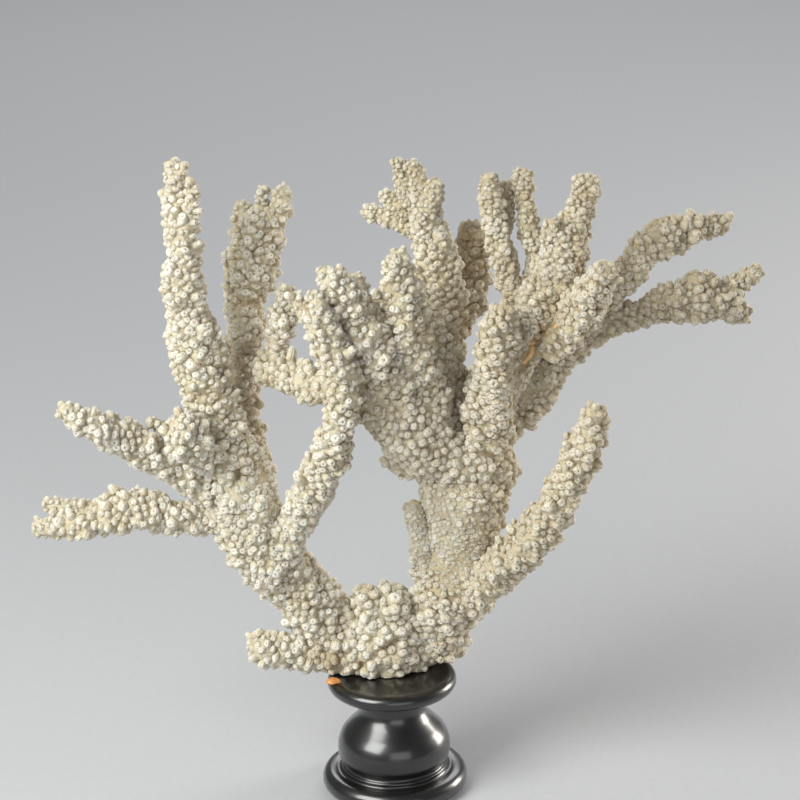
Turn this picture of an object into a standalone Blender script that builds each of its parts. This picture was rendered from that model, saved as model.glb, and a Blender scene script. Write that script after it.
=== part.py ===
"""Branching coral skeleton fixed on a small turned stand.

The coral is one grown piece, split here at its main forks. A limb is a tapered
tube along a route of chosen points, its skin raised into beads, with its twigs
fused on. Each limb is trimmed against the limbs before it, so that it starts at
their skin. The stand is a turned profile.

The origin is the centre of the stand's underside, +Z is up, and the coral
spreads along X. Sizes are in millimetres, and MM turns them into metres.
"""
import math
import random
from typing import NamedTuple

import bmesh
import bpy
from mathutils import Vector

MM = 0.001

# The skin of the coral
JOINT_GAP = 0.3
RING_STEP = 9.0
BEAD_PITCH = 9.0
BEAD_HEIGHT = 2.6
BEAD_SPREAD = 0.35
BEAD_SUNK_SHARE = 0.6
SMALL_RADIUS = 5.0
MIN_AROUND = 6
TINY_EDGE = 0.01

# The stand
FOOT_RING_MID = 26.2
FOOT_RING_RADIUS = 4.6
FILLET_MID = 21.7
FILLET_RADIUS = 0.9
FILLET_HEIGHT = 10.2
BELL_RADIUS = 23.9
BELL_HEIGHT = 18.2
BELL_BOTTOM = 11.6
BELL_BOTTOM_RADIUS = 21.2
NECK_RADIUS = 13.6
NECK_HEIGHT = 37.4
DISC_UNDERSIDE = 45.7
RIM_MID = 24.0
RIM_RADIUS = 3.3
RIM_HEIGHT = 49.0
DISC_TOP = 51.9
DISH_RADIUS = 22.6
STAND_STEPS = 24

# The coral's sawn underside rests just above the rim of the disc
SAWN_PLANE = RIM_HEIGHT + RIM_RADIUS + JOINT_GAP

CORAL_COLOUR = (0.62, 0.57, 0.46, 1.0)
LACQUER_COLOUR = (0.006, 0.006, 0.006, 1.0)
ADHESIVE_COLOUR = (0.55, 0.26, 0.08, 1.0)


class Limb(NamedTuple):
    """A limb of the coral: routes of (x, y, z, radius), the first one its own, the rest its twigs."""

    name: str
    routes: tuple


LIMBS = (
    Limb("coral_foot", (
        ((0, 8, 54, 15.7), (-0.5, 6, 67, 14.4), (0.5, 4, 83, 9.7)),
        ((-1, 6, 60.5, 13.1), (-24, 6, 60.5, 11.9), (-40, 3, 61.5, 8.4), (-52.5, 1, 65, 7)),
        ((-4, 6, 59, 11.9), (10, 8, 59.5, 11.9), (23, 12, 60.5, 8.7)),
        ((5.5, 5, 66.5, 8.9), (15, 2, 79, 5.5)),
        ((-8, 2, 66.5, 7.6), (-9.5, 1, 85.5, 5.7)),
    )),
    Limb("left_trunk", (
        ((-17, 10, 61, 14.4), (-27.5, 8, 74, 14.4), (-40, 4, 94.5, 14.4), (-49, 2, 104.5, 16.7),
         (-54, 0, 117.5, 16.2), (-59, -2, 136, 14.4)),
    )),
    Limb("right_trunk", (
        ((17, 12, 60, 14), (24, 8, 82, 15.2), (29.5, 5, 105, 16.3), (33, 4, 130.5, 17.4),
         (34, 4, 145, 18.1)),
        ((18, 6, 88, 5.9), (15, 2, 104, 6.3), (13, 1, 116.5, 5.6), (11.5, 1, 124, 4.6)),
        ((28.5, 2, 128, 14.1), (19, 0, 142, 9.9), (6.5, -2, 151.5, 8)),
        ((40, 4, 141, 11.6), (46.5, 3, 143.5, 10.1)),
    )),
    Limb("tall_left_branch", (
        ((-58, -2, 134, 12.3), (-66, -2, 160, 12.7), (-72, -2, 186, 11.3), (-76.5, -1, 206, 11.9),
         (-77.5, 0, 216, 9.1), (-78, 0, 227.5, 8.4), (-78, 2, 237, 7.1), (-79, 3, 247.5, 6.9),
         (-80, 4, 258, 5.9), (-80.5, 5, 268, 4.3), (-81.5, 6, 273, 3.6)),
        ((-77, 0, 247.5, 4), (-73, -4, 260, 3), (-72.5, -6, 268.5, 2.4)),
    )),
    Limb("rear_left_branch", (
        ((-54, 10, 139, 10.8), (-59.5, 20, 166.5, 6.6), (-58, 27, 188.5, 8.3), (-56, 31, 207.5, 9.9),
         (-53.5, 33, 220.5, 12.6), (-50.5, 34, 232.5, 12.4), (-50, 34, 239, 10.7)),
        ((-54.5, 34, 240, 4.7), (-56, 36, 247.5, 4.1)),
        ((-48, 36, 241, 4.9), (-47.5, 36, 250, 3.5), (-46.5, 36, 254.5, 2.7)),
        ((-44, 34, 239.5, 5.8), (-39.5, 34, 248, 4.9), (-39.5, 35, 253, 4.3)),
    )),
    Limb("left_front_stub", (
        ((-70, -8, 154, 9), (-75.5, -16, 162.5, 8.9), (-80.5, -22, 171, 8.6)),
        ((-79, -10, 160, 5.3), (-89, -6, 166.5, 3.5), (-94.5, -6, 170, 2.6)),
    )),
    Limb("upper_left_arm", (
        ((-67.5, -2, 133.5, 9.1), (-83.5, -8, 149, 6.9), (-98.5, -14, 161.5, 7.1), (-113.5, -20, 172, 7),
         (-126, -24, 181, 3.8)),
    )),
    Limb("lower_left_arm", (
        ((-61, 0, 123, 9.9), (-81, -4, 127, 7.4), (-94, -5, 129.5, 8.4), (-106.5, -6, 132, 9.9),
         (-117.5, -6, 129.5, 7.6), (-123.5, -6, 128.5, 7.8), (-136.5, -6, 125, 5.1),
         (-143.5, -5, 124.5, 3.9)),
        ((-123.5, -6, 132, 4.9), (-139.5, -4, 134.5, 3.1)),
    )),
    Limb("front_branch", (
        ((-44, -4, 111, 7), (-33, -16, 136.5, 8.9), (-22, -27, 162, 8), (-16, -32, 182, 7.3),
         (-17.5, -34, 201, 7.3), (-20, -34.5, 209.5, 7), (-21.5, -35, 217, 6.6), (-23, -35, 223.5, 5.8),
         (-24.5, -35, 230, 4.1)),
        ((-23.5, -34, 218, 4.9), (-30, -33, 225, 3.3), (-33, -32, 229.5, 2.5)),
    )),
    Limb("crossing_arm", (
        ((30, 0, 148, 13.1), (15, -6, 158, 13.4), (3, -12, 172, 11.7), (-10, -16, 182.5, 8.8),
         (-23, -12, 184.5, 7.4), (-34.5, -2, 185.5, 7.9), (-46, 8, 186.5, 8.2)),
        ((-45, 8, 187.5, 6.1), (-43, 11, 195.5, 5.3), (-41, 14, 204.5, 6.5), (-38.5, 18, 216, 3.9)),
    )),
    Limb("low_right_branch", (
        ((34, 0, 84.5, 9.6), (44.5, -9, 101, 10.1), (54.5, -16, 114.5, 10), (65, -22, 129.5, 9.7),
         (74, -28, 149, 9), (79.5, -31, 163, 8.4), (83, -33, 174, 5.9), (83.5, -33, 177.5, 4.7)),
    )),
    Limb("right_arm", (
        ((39.5, 6, 154.5, 12.4), (46.5, 8, 163, 11.5), (56, 10, 170, 13.6), (69, 14, 186.5, 10.9),
         (78.5, 16, 192, 9.7), (86.5, 18, 198.5, 8), (98.5, 20, 199, 6.6), (110, 22, 201.5, 5.8),
         (118.5, 24, 205, 7.8), (126, 26, 205.5, 9.3), (136, 28, 204.5, 10.3), (142.5, 30, 203, 9.1)),
        ((145.5, 31, 207.5, 5.4), (153.5, 32, 213, 4.3), (156, 32, 214.5, 3.9)),
        ((141.5, 29, 200, 6.2), (150, 31, 196.5, 4.8)),
        ((53, 8, 176, 9), (63.5, 8, 173, 10.1)),
    )),
    Limb("tall_middle_branch", (
        ((26, 6, 154, 12.8), (24, 10, 183, 10.7), (24.5, 11, 200, 9.8), (25, 12, 212.5, 9.4),
         (23.5, 14, 229.5, 9.1), (21, 16, 240, 8.1), (19, 16, 250, 6.9), (16.5, 17, 259.5, 5.2),
         (14.5, 18, 267, 3.8)),
        ((13, 17, 251, 4), (10, 18, 262.5, 3.2), (8.5, 18, 269, 2.8)),
        ((20.5, 14, 245.5, 5.6), (22.5, 12, 259.5, 4)),
        ((19, 18, 238, 4.7), (10, 22, 242.5, 4.3), (3.5, 25, 244, 4.3), (-1.5, 26, 246, 4.1)),
        ((12.5, 20, 244.5, 4.1), (7, 22, 251, 3.9), (4, 23, 254, 3.2)),
    )),
    Limb("right_crown_branch", (
        ((39, 2, 164, 13.1), (52, 0, 188, 12.2), (60, 0, 204, 11.3), (67, 0, 218, 11.1),
         (74, 1, 231.5, 11), (76, 2, 239, 9), (82.5, 4, 253, 6.8), (84.5, 5, 260, 6.2)),
        ((70, 0, 240, 5.2), (69, -2, 245, 3.6)),
    )),
    Limb("upper_right_arm", (
        ((82.5, 16, 203.5, 8.6), (97.5, 22, 214, 7.2), (105.5, 25, 221.5, 7), (111, 28, 229, 8.8),
         (118.5, 32, 229.5, 8.9), (128, 36, 232.5, 6.4), (136, 39, 232.5, 5), (143, 41, 233, 4.4)),
    )),
    Limb("right_front_stub", (
        ((68, 0, 196, 9.7), (81.5, -14, 218, 8.5), (89, -24, 232, 6.3)),
    )),
    Limb("inner_crown_branch", (
        ((61, 4, 199.5, 7.3), (57, 8, 212, 6.1), (53, 11, 219, 6.3), (50.5, 12, 229.5, 6.7),
         (47.5, 14, 240, 6.3), (46.5, 16, 248, 6.1), (46, 18, 260, 4)),
        ((52, 16, 238, 2.8), (54, 22, 246, 2), (53, 27, 255, 3.3)),
    )),
    Limb("thin_crown_branch", (
        ((60, 6, 200, 7.3), (64.5, 14, 225.5, 5.5), (62, 18, 238.5, 4.9), (60, 21, 249.5, 4.5),
         (59, 24, 259.5, 3.8), (58.5, 24, 261.5, 3.2)),
        ((60.5, 22, 254, 3.2), (61.5, 22, 261.5, 2.4)),
    )),
    Limb("rear_crown_branch", (
        ((26, 14, 160, 9.1), (26.5, 27, 185, 6.6), (33, 30, 198, 6.4), (35.5, 31, 205.5, 7),
         (37.5, 32, 212.5, 7.4), (39, 33, 222, 7.4), (39.5, 35, 234, 5.2)),
    )),
    Limb("middle_front_stub", (
        ((20, -4, 170, 10.6), (12, -14, 202, 9.2), (8.5, -20, 224, 7.3), (8, -24, 240, 4.7)),
    )),
    Limb("slanted_front_branch", (
        ((15, -6, 166, 11), (2, -16, 193, 10.8), (-7, -22, 213.5, 9.5), (-14.5, -26, 228.5, 7.6),
         (-18.5, -27, 234, 5.5)),
        ((-16, -26, 229, 4.7), (-21.5, -27, 237, 3.5)),
        ((-3, -16, 208, 5.6), (-10, -10, 228.5, 4.2)),
    )),
    Limb("small_rear_stub", (
        ((12, 2, 180, 6.9), (2, 14, 205, 4.9), (-0.5, 16, 213, 2.9)),
    )),
    Limb("right_leaf_stub", (
        ((43, -2, 158, 12.3), (45.5, -12, 189.5, 10), (46.5, -16, 203, 9.4), (48.5, -19, 212, 7.1),
         (49.5, -20, 216, 4.7)),
    )),
)

# The dab of adhesive on the left of the disc's rim: centre, reach and height
DAB_CENTRE = (-24.6, -8.4)
DAB_REACH = (3.2, 2.4)
DAB_HEIGHT = 1.8


def clear_scene():
    """Remove every object of the scene."""
    for old in list(bpy.data.objects):
        bpy.data.objects.remove(old)


def finish(name, colour, roughness, coat=0.0):
    """A Principled material with the part's colour, roughness and clear coat."""
    material = bpy.data.materials.new(name)
    material.use_nodes = True
    shader = material.node_tree.nodes["Principled BSDF"]
    shader.inputs["Base Color"].default_value = colour
    shader.inputs["Roughness"].default_value = roughness
    shader.inputs["Metallic"].default_value = 0.0
    shader.inputs["Coat Weight"].default_value = coat
    return material


def add_object(name, mesh):
    """Put a mesh into the scene as an object."""
    piece = bpy.data.objects.new(name, mesh)
    bpy.context.scene.collection.objects.link(piece)
    return piece


def curve_point(before, start, end, after, share):
    """Catmull-Rom curve: the point at a share of the way from start to end."""
    straight = end - start
    leave = (end - before) * 0.5
    arrive = (after - start) * 0.5
    square = share * share
    return (start + leave * share
            + (straight * 3 - leave * 2 - arrive) * square
            + (leave + arrive - straight * 2) * square * share)


def even_samples(route, step):
    """Centres and radii at about equal steps along the smooth curve through a route."""
    points = [Vector(point).to_4d() for point in (p[:3] for p in route)]
    for point, (_, _, _, radius) in zip(points, route):
        point.w = radius
    padded = [points[0] * 2 - points[1]] + points + [points[-1] * 2 - points[-2]]
    fine = []
    per_span = 12
    for span in range(len(points) - 1):
        corners = padded[span:span + 4]
        fine += [curve_point(*corners, share / per_span) for share in range(per_span)]
    fine.append(points[-1])
    lengths = [0.0]
    for last, this in zip(fine, fine[1:]):
        lengths.append(lengths[-1] + (this - last).to_3d().length)
    count = max(2, round(lengths[-1] / step))
    samples = []
    for number in range(count + 1):
        target = lengths[-1] * number / count
        place = max(1, next(i for i, far in enumerate(lengths) if far >= target - 1e-9))
        near = lengths[place - 1]
        share = (target - near) / (lengths[place] - near)
        samples.append(fine[place - 1].lerp(fine[place], share))
    return samples


def rings_of(route, grow):
    """Rings of a tube as (centre, tangent, side, radius, lean), with a rounded tip's rings at the end.

    A ring's lean is how far its outward direction turns towards the tip, in radians.
    """
    samples = even_samples(route, RING_STEP)
    centres = [sample.to_3d() for sample in samples]
    radii = [sample.w + grow for sample in samples]
    rings = []
    side = None
    for number, centre in enumerate(centres):
        ahead = centres[min(number + 1, len(centres) - 1)]
        behind = centres[max(number - 1, 0)]
        tangent = (ahead - behind).normalized()
        if side is None:
            side = tangent.orthogonal().normalized()
        side = (side - tangent * side.dot(tangent)).normalized()
        rings.append((centre, tangent, side, radii[number], 0.0))
    rings[0] = (centres[0] - rings[0][1] * grow,) + rings[0][1:]
    tip, tangent, side, radius, _ = rings[-1]
    leans = (55,) if radius < SMALL_RADIUS else (35, 65)
    for lean in map(math.radians, leans):
        rings.append((tip + tangent * radius * math.sin(lean), tangent, side, radius * math.cos(lean), lean))
    return rings, tip + tangent * radius


def tube_mesh(name, route, seed, grow=0.0):
    """Closed tube of staggered rings, where one point in three stands out as a bead.

    A point keeps clear of its raised neighbours because its place in the
    triangle lattice, counted along and around, decides whether it is raised.
    """
    rng = random.Random(seed)
    widest = max(radius for _, _, _, radius in route)
    around = max(MIN_AROUND, 3 * round(math.tau * widest * 0.9 / (3 * BEAD_PITCH)))
    rings, pole = rings_of(route, grow)
    mesh = bmesh.new()
    rows = []
    for row, (centre, tangent, side, radius, lean) in enumerate(rings):
        across = tangent.cross(side)
        bead = BEAD_HEIGHT * min(1.0, radius / (2 * SMALL_RADIUS))
        ring = []
        for column in range(around):
            angle = math.tau * (column + 0.5 * (row % 2)) / around
            outward = side * math.cos(angle) + across * math.sin(angle)
            lattice = column - (row - row % 2) // 2 - row
            raised = bead * rng.uniform(1 - BEAD_SPREAD, 1 + BEAD_SPREAD) if lattice % 3 == 0 else 0.0
            reach = raised - BEAD_SUNK_SHARE * bead
            push = outward * math.cos(lean) + tangent * math.sin(lean)
            ring.append(mesh.verts.new((centre + outward * radius + push * reach) * MM))
        rows.append(ring)
    for row, (lower, upper) in enumerate(zip(rows, rows[1:])):
        for column in range(around):
            after = (column + 1) % around
            if row % 2 == 0:
                mesh.faces.new((lower[column], lower[after], upper[column]))
                mesh.faces.new((lower[after], upper[after], upper[column]))
            else:
                mesh.faces.new((lower[column], upper[after], upper[column]))
                mesh.faces.new((lower[column], lower[after], upper[after]))
    top = mesh.verts.new(pole * MM)
    for column in range(around):
        mesh.faces.new((rows[-1][column], rows[-1][(column + 1) % around], top))
    mesh.faces.new(list(reversed(rows[0])))
    data = bpy.data.meshes.new(name)
    mesh.to_mesh(data)
    mesh.free()
    return data


def joined_by(target, tool_meshes, operation):
    """Apply exact Booleans of one operation with each tool mesh, and return the new mesh."""
    tools = []
    for number, data in enumerate(tool_meshes):
        tool = add_object(f"tool_{number}", data)
        tool.hide_render = True
        tool.display_type = "WIRE"
        boolean = target.modifiers.new(f"{operation.lower()}_{number}", "BOOLEAN")
        boolean.operation = operation
        boolean.solver = "EXACT"
        boolean.object = tool
        tools.append(tool)
    bpy.context.view_layer.update()
    graph = bpy.context.evaluated_depsgraph_get()
    result = bpy.data.meshes.new_from_object(target.evaluated_get(graph), depsgraph=graph)
    target.modifiers.clear()
    for tool in tools:
        bpy.data.objects.remove(tool)
    return result


def keep_largest_island(data):
    """Clean a trimmed mesh and delete every loose piece of it but the one with most faces."""
    mesh = bmesh.new()
    mesh.from_mesh(data)
    bmesh.ops.remove_doubles(mesh, verts=mesh.verts, dist=TINY_EDGE * MM)
    bmesh.ops.dissolve_degenerate(mesh, edges=mesh.edges, dist=TINY_EDGE * MM)
    bmesh.ops.triangulate(mesh, faces=mesh.faces)
    unseen = set(mesh.faces)
    islands = []
    while unseen:
        edge_of_search = [unseen.pop()]
        island = list(edge_of_search)
        while edge_of_search:
            face = edge_of_search.pop()
            for link in (link for edge in face.edges for link in edge.link_faces):
                if link in unseen:
                    unseen.remove(link)
                    edge_of_search.append(link)
                    island.append(link)
        islands.append(island)
    islands.sort(key=len)
    for island in islands[:-1]:
        bmesh.ops.delete(mesh, geom=island, context="FACES")
    mesh.to_mesh(data)
    mesh.free()
    return data


def route_box(routes, margin):
    """Lowest and highest corners of what a limb's routes reach, with a margin."""
    low = [min(p[axis] - p[3] for route in routes for p in route) - margin for axis in range(3)]
    high = [max(p[axis] + p[3] for route in routes for p in route) + margin for axis in range(3)]
    return low, high


def boxes_meet(first, second):
    """Whether two boxes, each a pair of corners, overlap."""
    return all(first[0][axis] < second[1][axis] and second[0][axis] < first[1][axis] for axis in range(3))


def ground_block():
    """The block under the sawn plane, which trims the coral flat."""
    reach = 120 * MM
    mesh = bmesh.new()
    bmesh.ops.create_cube(mesh, size=1.0)
    for vert in mesh.verts:
        vert.co.x *= 2 * reach
        vert.co.y *= 2 * reach
        vert.co.z = (SAWN_PLANE if vert.co.z > 0 else 0.0) * MM
    data = bpy.data.meshes.new("ground_block")
    mesh.to_mesh(data)
    mesh.free()
    return data


def limb_tools(limb, grow):
    """The tubes of a limb, its own and its twigs', each grown by the same amount."""
    return [tube_mesh(f"{limb.name}_tool_{number}", route, f"{limb.name}{number}", grow)
            for number, route in enumerate(limb.routes)]


def build_limb(limb, earlier):
    """Make a limb: its tubes in one, less the grown tubes of the limbs that it meets, and sawn flat."""
    own, *twigs = limb_tools(limb, 0.0)
    piece = add_object(limb.name, own)
    if twigs:
        piece.data = joined_by(piece, twigs, "UNION")
    box = route_box(limb.routes, BEAD_HEIGHT + JOINT_GAP)
    neighbours = [other for other in earlier if boxes_meet(box, route_box(other.routes, BEAD_HEIGHT))]
    cutters = [tool for other in neighbours for tool in limb_tools(other, JOINT_GAP)]
    if box[0][2] < SAWN_PLANE:
        cutters.append(ground_block())
    if cutters:
        piece.data = joined_by(piece, cutters, "DIFFERENCE")
    keep_largest_island(piece.data)
    piece.data.materials.append(finish(f"{limb.name}_bleached_coral", CORAL_COLOUR, 0.85))
    return piece


def arc(centre, radius, start, end, count):
    """Points (radius, height) on an arc of the profile, from one angle to another in degrees."""
    return [(centre[0] + radius * math.cos(math.radians(start + (end - start) * i / count)),
             centre[1] + radius * math.sin(math.radians(start + (end - start) * i / count)))
            for i in range(count + 1)]


def stand_profile():
    """The stand's turned outline from the middle of its top, down its outside, to the middle below."""
    rim = arc((RIM_MID, RIM_HEIGHT), RIM_RADIUS, 90, -90, 4)
    neck_top = [(NECK_RADIUS + 3.4, DISC_UNDERSIDE - 1.6), (NECK_RADIUS, NECK_HEIGHT + 3.4)]
    bell = [(NECK_RADIUS, NECK_HEIGHT),
            (NECK_RADIUS + 3.2, 31.6),
            (BELL_RADIUS - 2.2, 26.4),
            (BELL_RADIUS - 0.2, 21.2),
            (BELL_RADIUS, BELL_HEIGHT - 1.0),
            (BELL_RADIUS - 0.9, BELL_HEIGHT - 4.2),
            (BELL_BOTTOM_RADIUS, BELL_BOTTOM)]
    fillet = arc((FILLET_MID, FILLET_HEIGHT), FILLET_RADIUS, 80, -60, 2)
    foot = arc((FOOT_RING_MID, FOOT_RING_RADIUS), FOOT_RING_RADIUS, 110, -90, 5)
    return ([(0.0, DISC_TOP), (DISH_RADIUS, DISC_TOP)] + rim + neck_top + bell + fillet + foot
            + [(0.0, 0.0)])


def build_stand():
    """Turn the stand's profile about the upright axis."""
    outline = stand_profile()
    data = bpy.data.meshes.new("stand")
    verts = [(radius * MM, 0.0, height * MM) for radius, height in outline]
    edges = [(number, number + 1) for number in range(len(verts) - 1)]
    data.from_pydata(verts, edges, [])
    piece = add_object("stand", data)
    screw = piece.modifiers.new("turning", "SCREW")
    screw.axis = "Z"
    screw.steps = STAND_STEPS
    screw.render_steps = STAND_STEPS
    screw.use_merge_vertices = True
    screw.merge_threshold = 0.00001
    screw.use_smooth_shade = True
    piece.data.materials.append(finish("black_lacquered_wood", LACQUER_COLOUR, 0.25, 0.8))
    return piece


def build_dab():
    """The low rounded dab of adhesive on the disc's rim, flat below, cut back from the coral's foot."""
    mesh = bmesh.new()
    bmesh.ops.create_icosphere(mesh, subdivisions=2, radius=1.0)
    floor = SAWN_PLANE
    for vert in mesh.verts:
        vert.co.x = (DAB_CENTRE[0] + vert.co.x * DAB_REACH[0]) * MM
        vert.co.y = (DAB_CENTRE[1] + vert.co.y * DAB_REACH[1]) * MM
        vert.co.z = (floor + max(0.0, vert.co.z) * DAB_HEIGHT) * MM
    data = bpy.data.meshes.new("adhesive_dab")
    mesh.to_mesh(data)
    mesh.free()
    piece = add_object("adhesive_dab", data)
    cutters = [tool for limb in LIMBS[:2] for tool in limb_tools(limb, JOINT_GAP)]
    piece.data = joined_by(piece, cutters, "DIFFERENCE")
    keep_largest_island(piece.data)
    piece.data.materials.append(finish("amber_adhesive", ADHESIVE_COLOUR, 0.3))
    return piece


def main():
    """Build the stand, the coral's limbs and the dab of adhesive."""
    clear_scene()
    build_stand()
    for number, limb in enumerate(LIMBS):
        build_limb(limb, LIMBS[:number])
    build_dab()


main()
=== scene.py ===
"""Dressed scene of a bleached branching coral skeleton fixed on a small turned stand.

The coral's limbs follow the routes of their solids closely. Each limb's skin is a
tapered tube worked out on a grid, swollen where it meets its neighbours, and set
with corallites, the small tubes that the coral's polyps lived in. The stand is a
turned profile in black satin lacquer. Sizes are in millimetres, and MM turns
them into metres.
"""
from __future__ import annotations

import itertools
import logging
import math
import sys
from dataclasses import dataclass, field, fields
from enum import Enum, IntEnum

import bpy
import numpy as np
from mathutils import Matrix, Vector


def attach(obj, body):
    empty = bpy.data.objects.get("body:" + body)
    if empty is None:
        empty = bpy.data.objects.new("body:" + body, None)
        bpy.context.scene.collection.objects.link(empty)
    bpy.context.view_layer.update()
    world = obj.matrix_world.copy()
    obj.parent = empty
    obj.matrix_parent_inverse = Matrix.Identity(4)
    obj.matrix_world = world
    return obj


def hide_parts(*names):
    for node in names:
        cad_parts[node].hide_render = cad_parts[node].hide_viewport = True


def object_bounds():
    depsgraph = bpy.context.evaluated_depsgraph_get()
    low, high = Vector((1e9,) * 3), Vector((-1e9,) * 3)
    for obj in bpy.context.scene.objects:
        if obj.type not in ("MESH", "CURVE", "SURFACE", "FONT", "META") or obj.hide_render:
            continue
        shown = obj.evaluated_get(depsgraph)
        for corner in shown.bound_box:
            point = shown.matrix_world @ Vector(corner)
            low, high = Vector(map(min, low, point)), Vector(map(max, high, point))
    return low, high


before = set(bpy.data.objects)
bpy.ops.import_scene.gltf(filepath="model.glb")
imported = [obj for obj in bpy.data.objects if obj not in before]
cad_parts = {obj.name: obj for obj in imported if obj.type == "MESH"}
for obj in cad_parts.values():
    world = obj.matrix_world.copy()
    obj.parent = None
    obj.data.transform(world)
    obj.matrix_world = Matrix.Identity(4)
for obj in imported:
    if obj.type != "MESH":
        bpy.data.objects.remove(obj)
CAD_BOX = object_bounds()

MM = 0.001
LOG = logging.getLogger("coral")
BODY = "root"

# The coral's sawn underside lies on the rim of the stand's disc
SAWN_PLANE = 52.4
GOLDEN_ANGLE = math.pi * (3.0 - math.sqrt(5.0))

# Odd factors and shifts that mix a lattice corner's three numbers and a seed
AXIS_FACTORS = (0x8DA6B343, 0xD8163841, 0xCB1AB31F)
SEED_FACTOR = 0x9E3779B1
MIX_STEPS = ((15, 0x2C1B3C6D), (12, 0x297A2D39))
LAST_SHIFT = 15
ALL_BITS = 0xFFFFFFFF

# The distances from its centre, in cubes, where a clump's dome is at its top and at its foot
DOME_TOP, DOME_EDGE = 0.1, 0.78

# Straight steps that a curve is measured in, from one point of its route to the next
CURVE_STEPS = 24

# A thin stem's skin lies in by no more than this share of its radius
INSET_SHARE = 0.34

# The skin's lean along a stem stays within this, in radians
STEEPEST = 0.6

# A direction that hardly any corallite points in, which its rings are turned from
ASIDE = (0.31, 0.87, 0.38)


# Numbers worked out on arrays


def smoothstep(values: np.ndarray, low: float, high: float) -> np.ndarray:
    """Rise smoothly from 0 at low to 1 at high: s * s * (3 - 2 s) of the clipped share s."""
    share = np.clip((values - low) / (high - low), 0.0, 1.0)
    return share * share * (3.0 - 2.0 * share)


def unit(vectors: np.ndarray) -> np.ndarray:
    """Each row divided by its length."""
    return vectors / np.maximum(np.linalg.norm(vectors, axis=-1, keepdims=True), 1e-12)


class Seed(IntEnum):
    """Numbers that keep the noise fields and each stem's random draws apart."""

    LUMPS = 11
    SEAM_SHADE = 21
    BLOTCHES = 22
    PITCH = 31
    SIZE = 41
    HEIGHT = 42
    CLUMPS = 51
    SCATTER = 1000


def corner_values(corners: np.ndarray, seed: int) -> np.ndarray:
    """A fixed random value in -1..1 for each whole-numbered lattice corner.

    The three numbers, each times its factor, and the seed are joined by exclusive
    or, and mixed by wrapping products and shifted exclusive ors.

    Args:
        corners: Whole numbers, one row of three for each corner.
        seed: Picks one of many independent fields.

    Returns:
        One value for each row.
    """
    parts = corners.astype(np.int64).astype(np.uint32)
    mixed = np.full(len(parts), (seed * SEED_FACTOR) & ALL_BITS, dtype=np.uint32)
    for axis, factor in enumerate(AXIS_FACTORS):
        mixed ^= parts[:, axis] * np.uint32(factor)
    for shift, factor in MIX_STEPS:
        mixed ^= mixed >> np.uint32(shift)
        mixed *= np.uint32(factor)
    mixed ^= mixed >> np.uint32(LAST_SHIFT)
    return mixed.astype(np.float64) / (ALL_BITS // 2) - 1.0


def lattice_noise(points: np.ndarray, cell: float, seed: int) -> np.ndarray:
    """Smooth noise: random values at the corners of a cubic lattice, blended by smoothstep.

    Args:
        points: Positions in millimetres, one row each.
        cell: The lattice's spacing in millimetres.
        seed: Picks one of many independent fields.

    Returns:
        One value in -1..1 for each point.
    """
    place = points / cell
    corner = np.floor(place)
    share = smoothstep(place - corner, 0.0, 1.0)
    total = np.zeros(len(points))
    for offset in itertools.product((0, 1), repeat=3):
        weight = np.prod(np.where(np.array(offset) == 1, share, 1.0 - share), axis=1)
        total += weight * corner_values(corner + offset, seed)
    return total


def clump_domes(points: np.ndarray, cell: float, seed: int) -> np.ndarray:
    """Domes round scattered centres, one in each cube of a lattice: 1 on top, 0 in the seams.

    The value is 1 - smoothstep(d, DOME_TOP, DOME_EDGE), where d is the distance to
    the nearest centre in cubes, and each centre is moved off its cube's middle by
    up to a third of the cube.

    Args:
        points: Positions in millimetres, one row each.
        cell: The lattice's spacing in millimetres.
        seed: Picks one of many independent fields.

    Returns:
        One value in 0..1 for each point.
    """
    place = points / cell
    corner = np.floor(place)
    nearest = np.full(len(points), np.inf)
    for offset in itertools.product((-1, 0, 1), repeat=3):
        cube = corner + offset
        moved = np.stack([corner_values(cube, seed + axis) for axis in range(3)], axis=1) / 3.0
        nearest = np.minimum(nearest, np.linalg.norm(cube + 0.5 + moved - place, axis=1))
    return 1.0 - smoothstep(nearest, DOME_TOP, DOME_EDGE)


def ball_weight(points: np.ndarray, centre: tuple[float, float, float], reach: float,
                core: float) -> np.ndarray:
    """A ball's weight at each point: 1 within core times its reach, and 0 past the reach."""
    away = np.linalg.norm(points - np.array(centre), axis=1)
    return smoothstep(-away, -reach, -core * reach)


# Meshes put together from arrays


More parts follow.
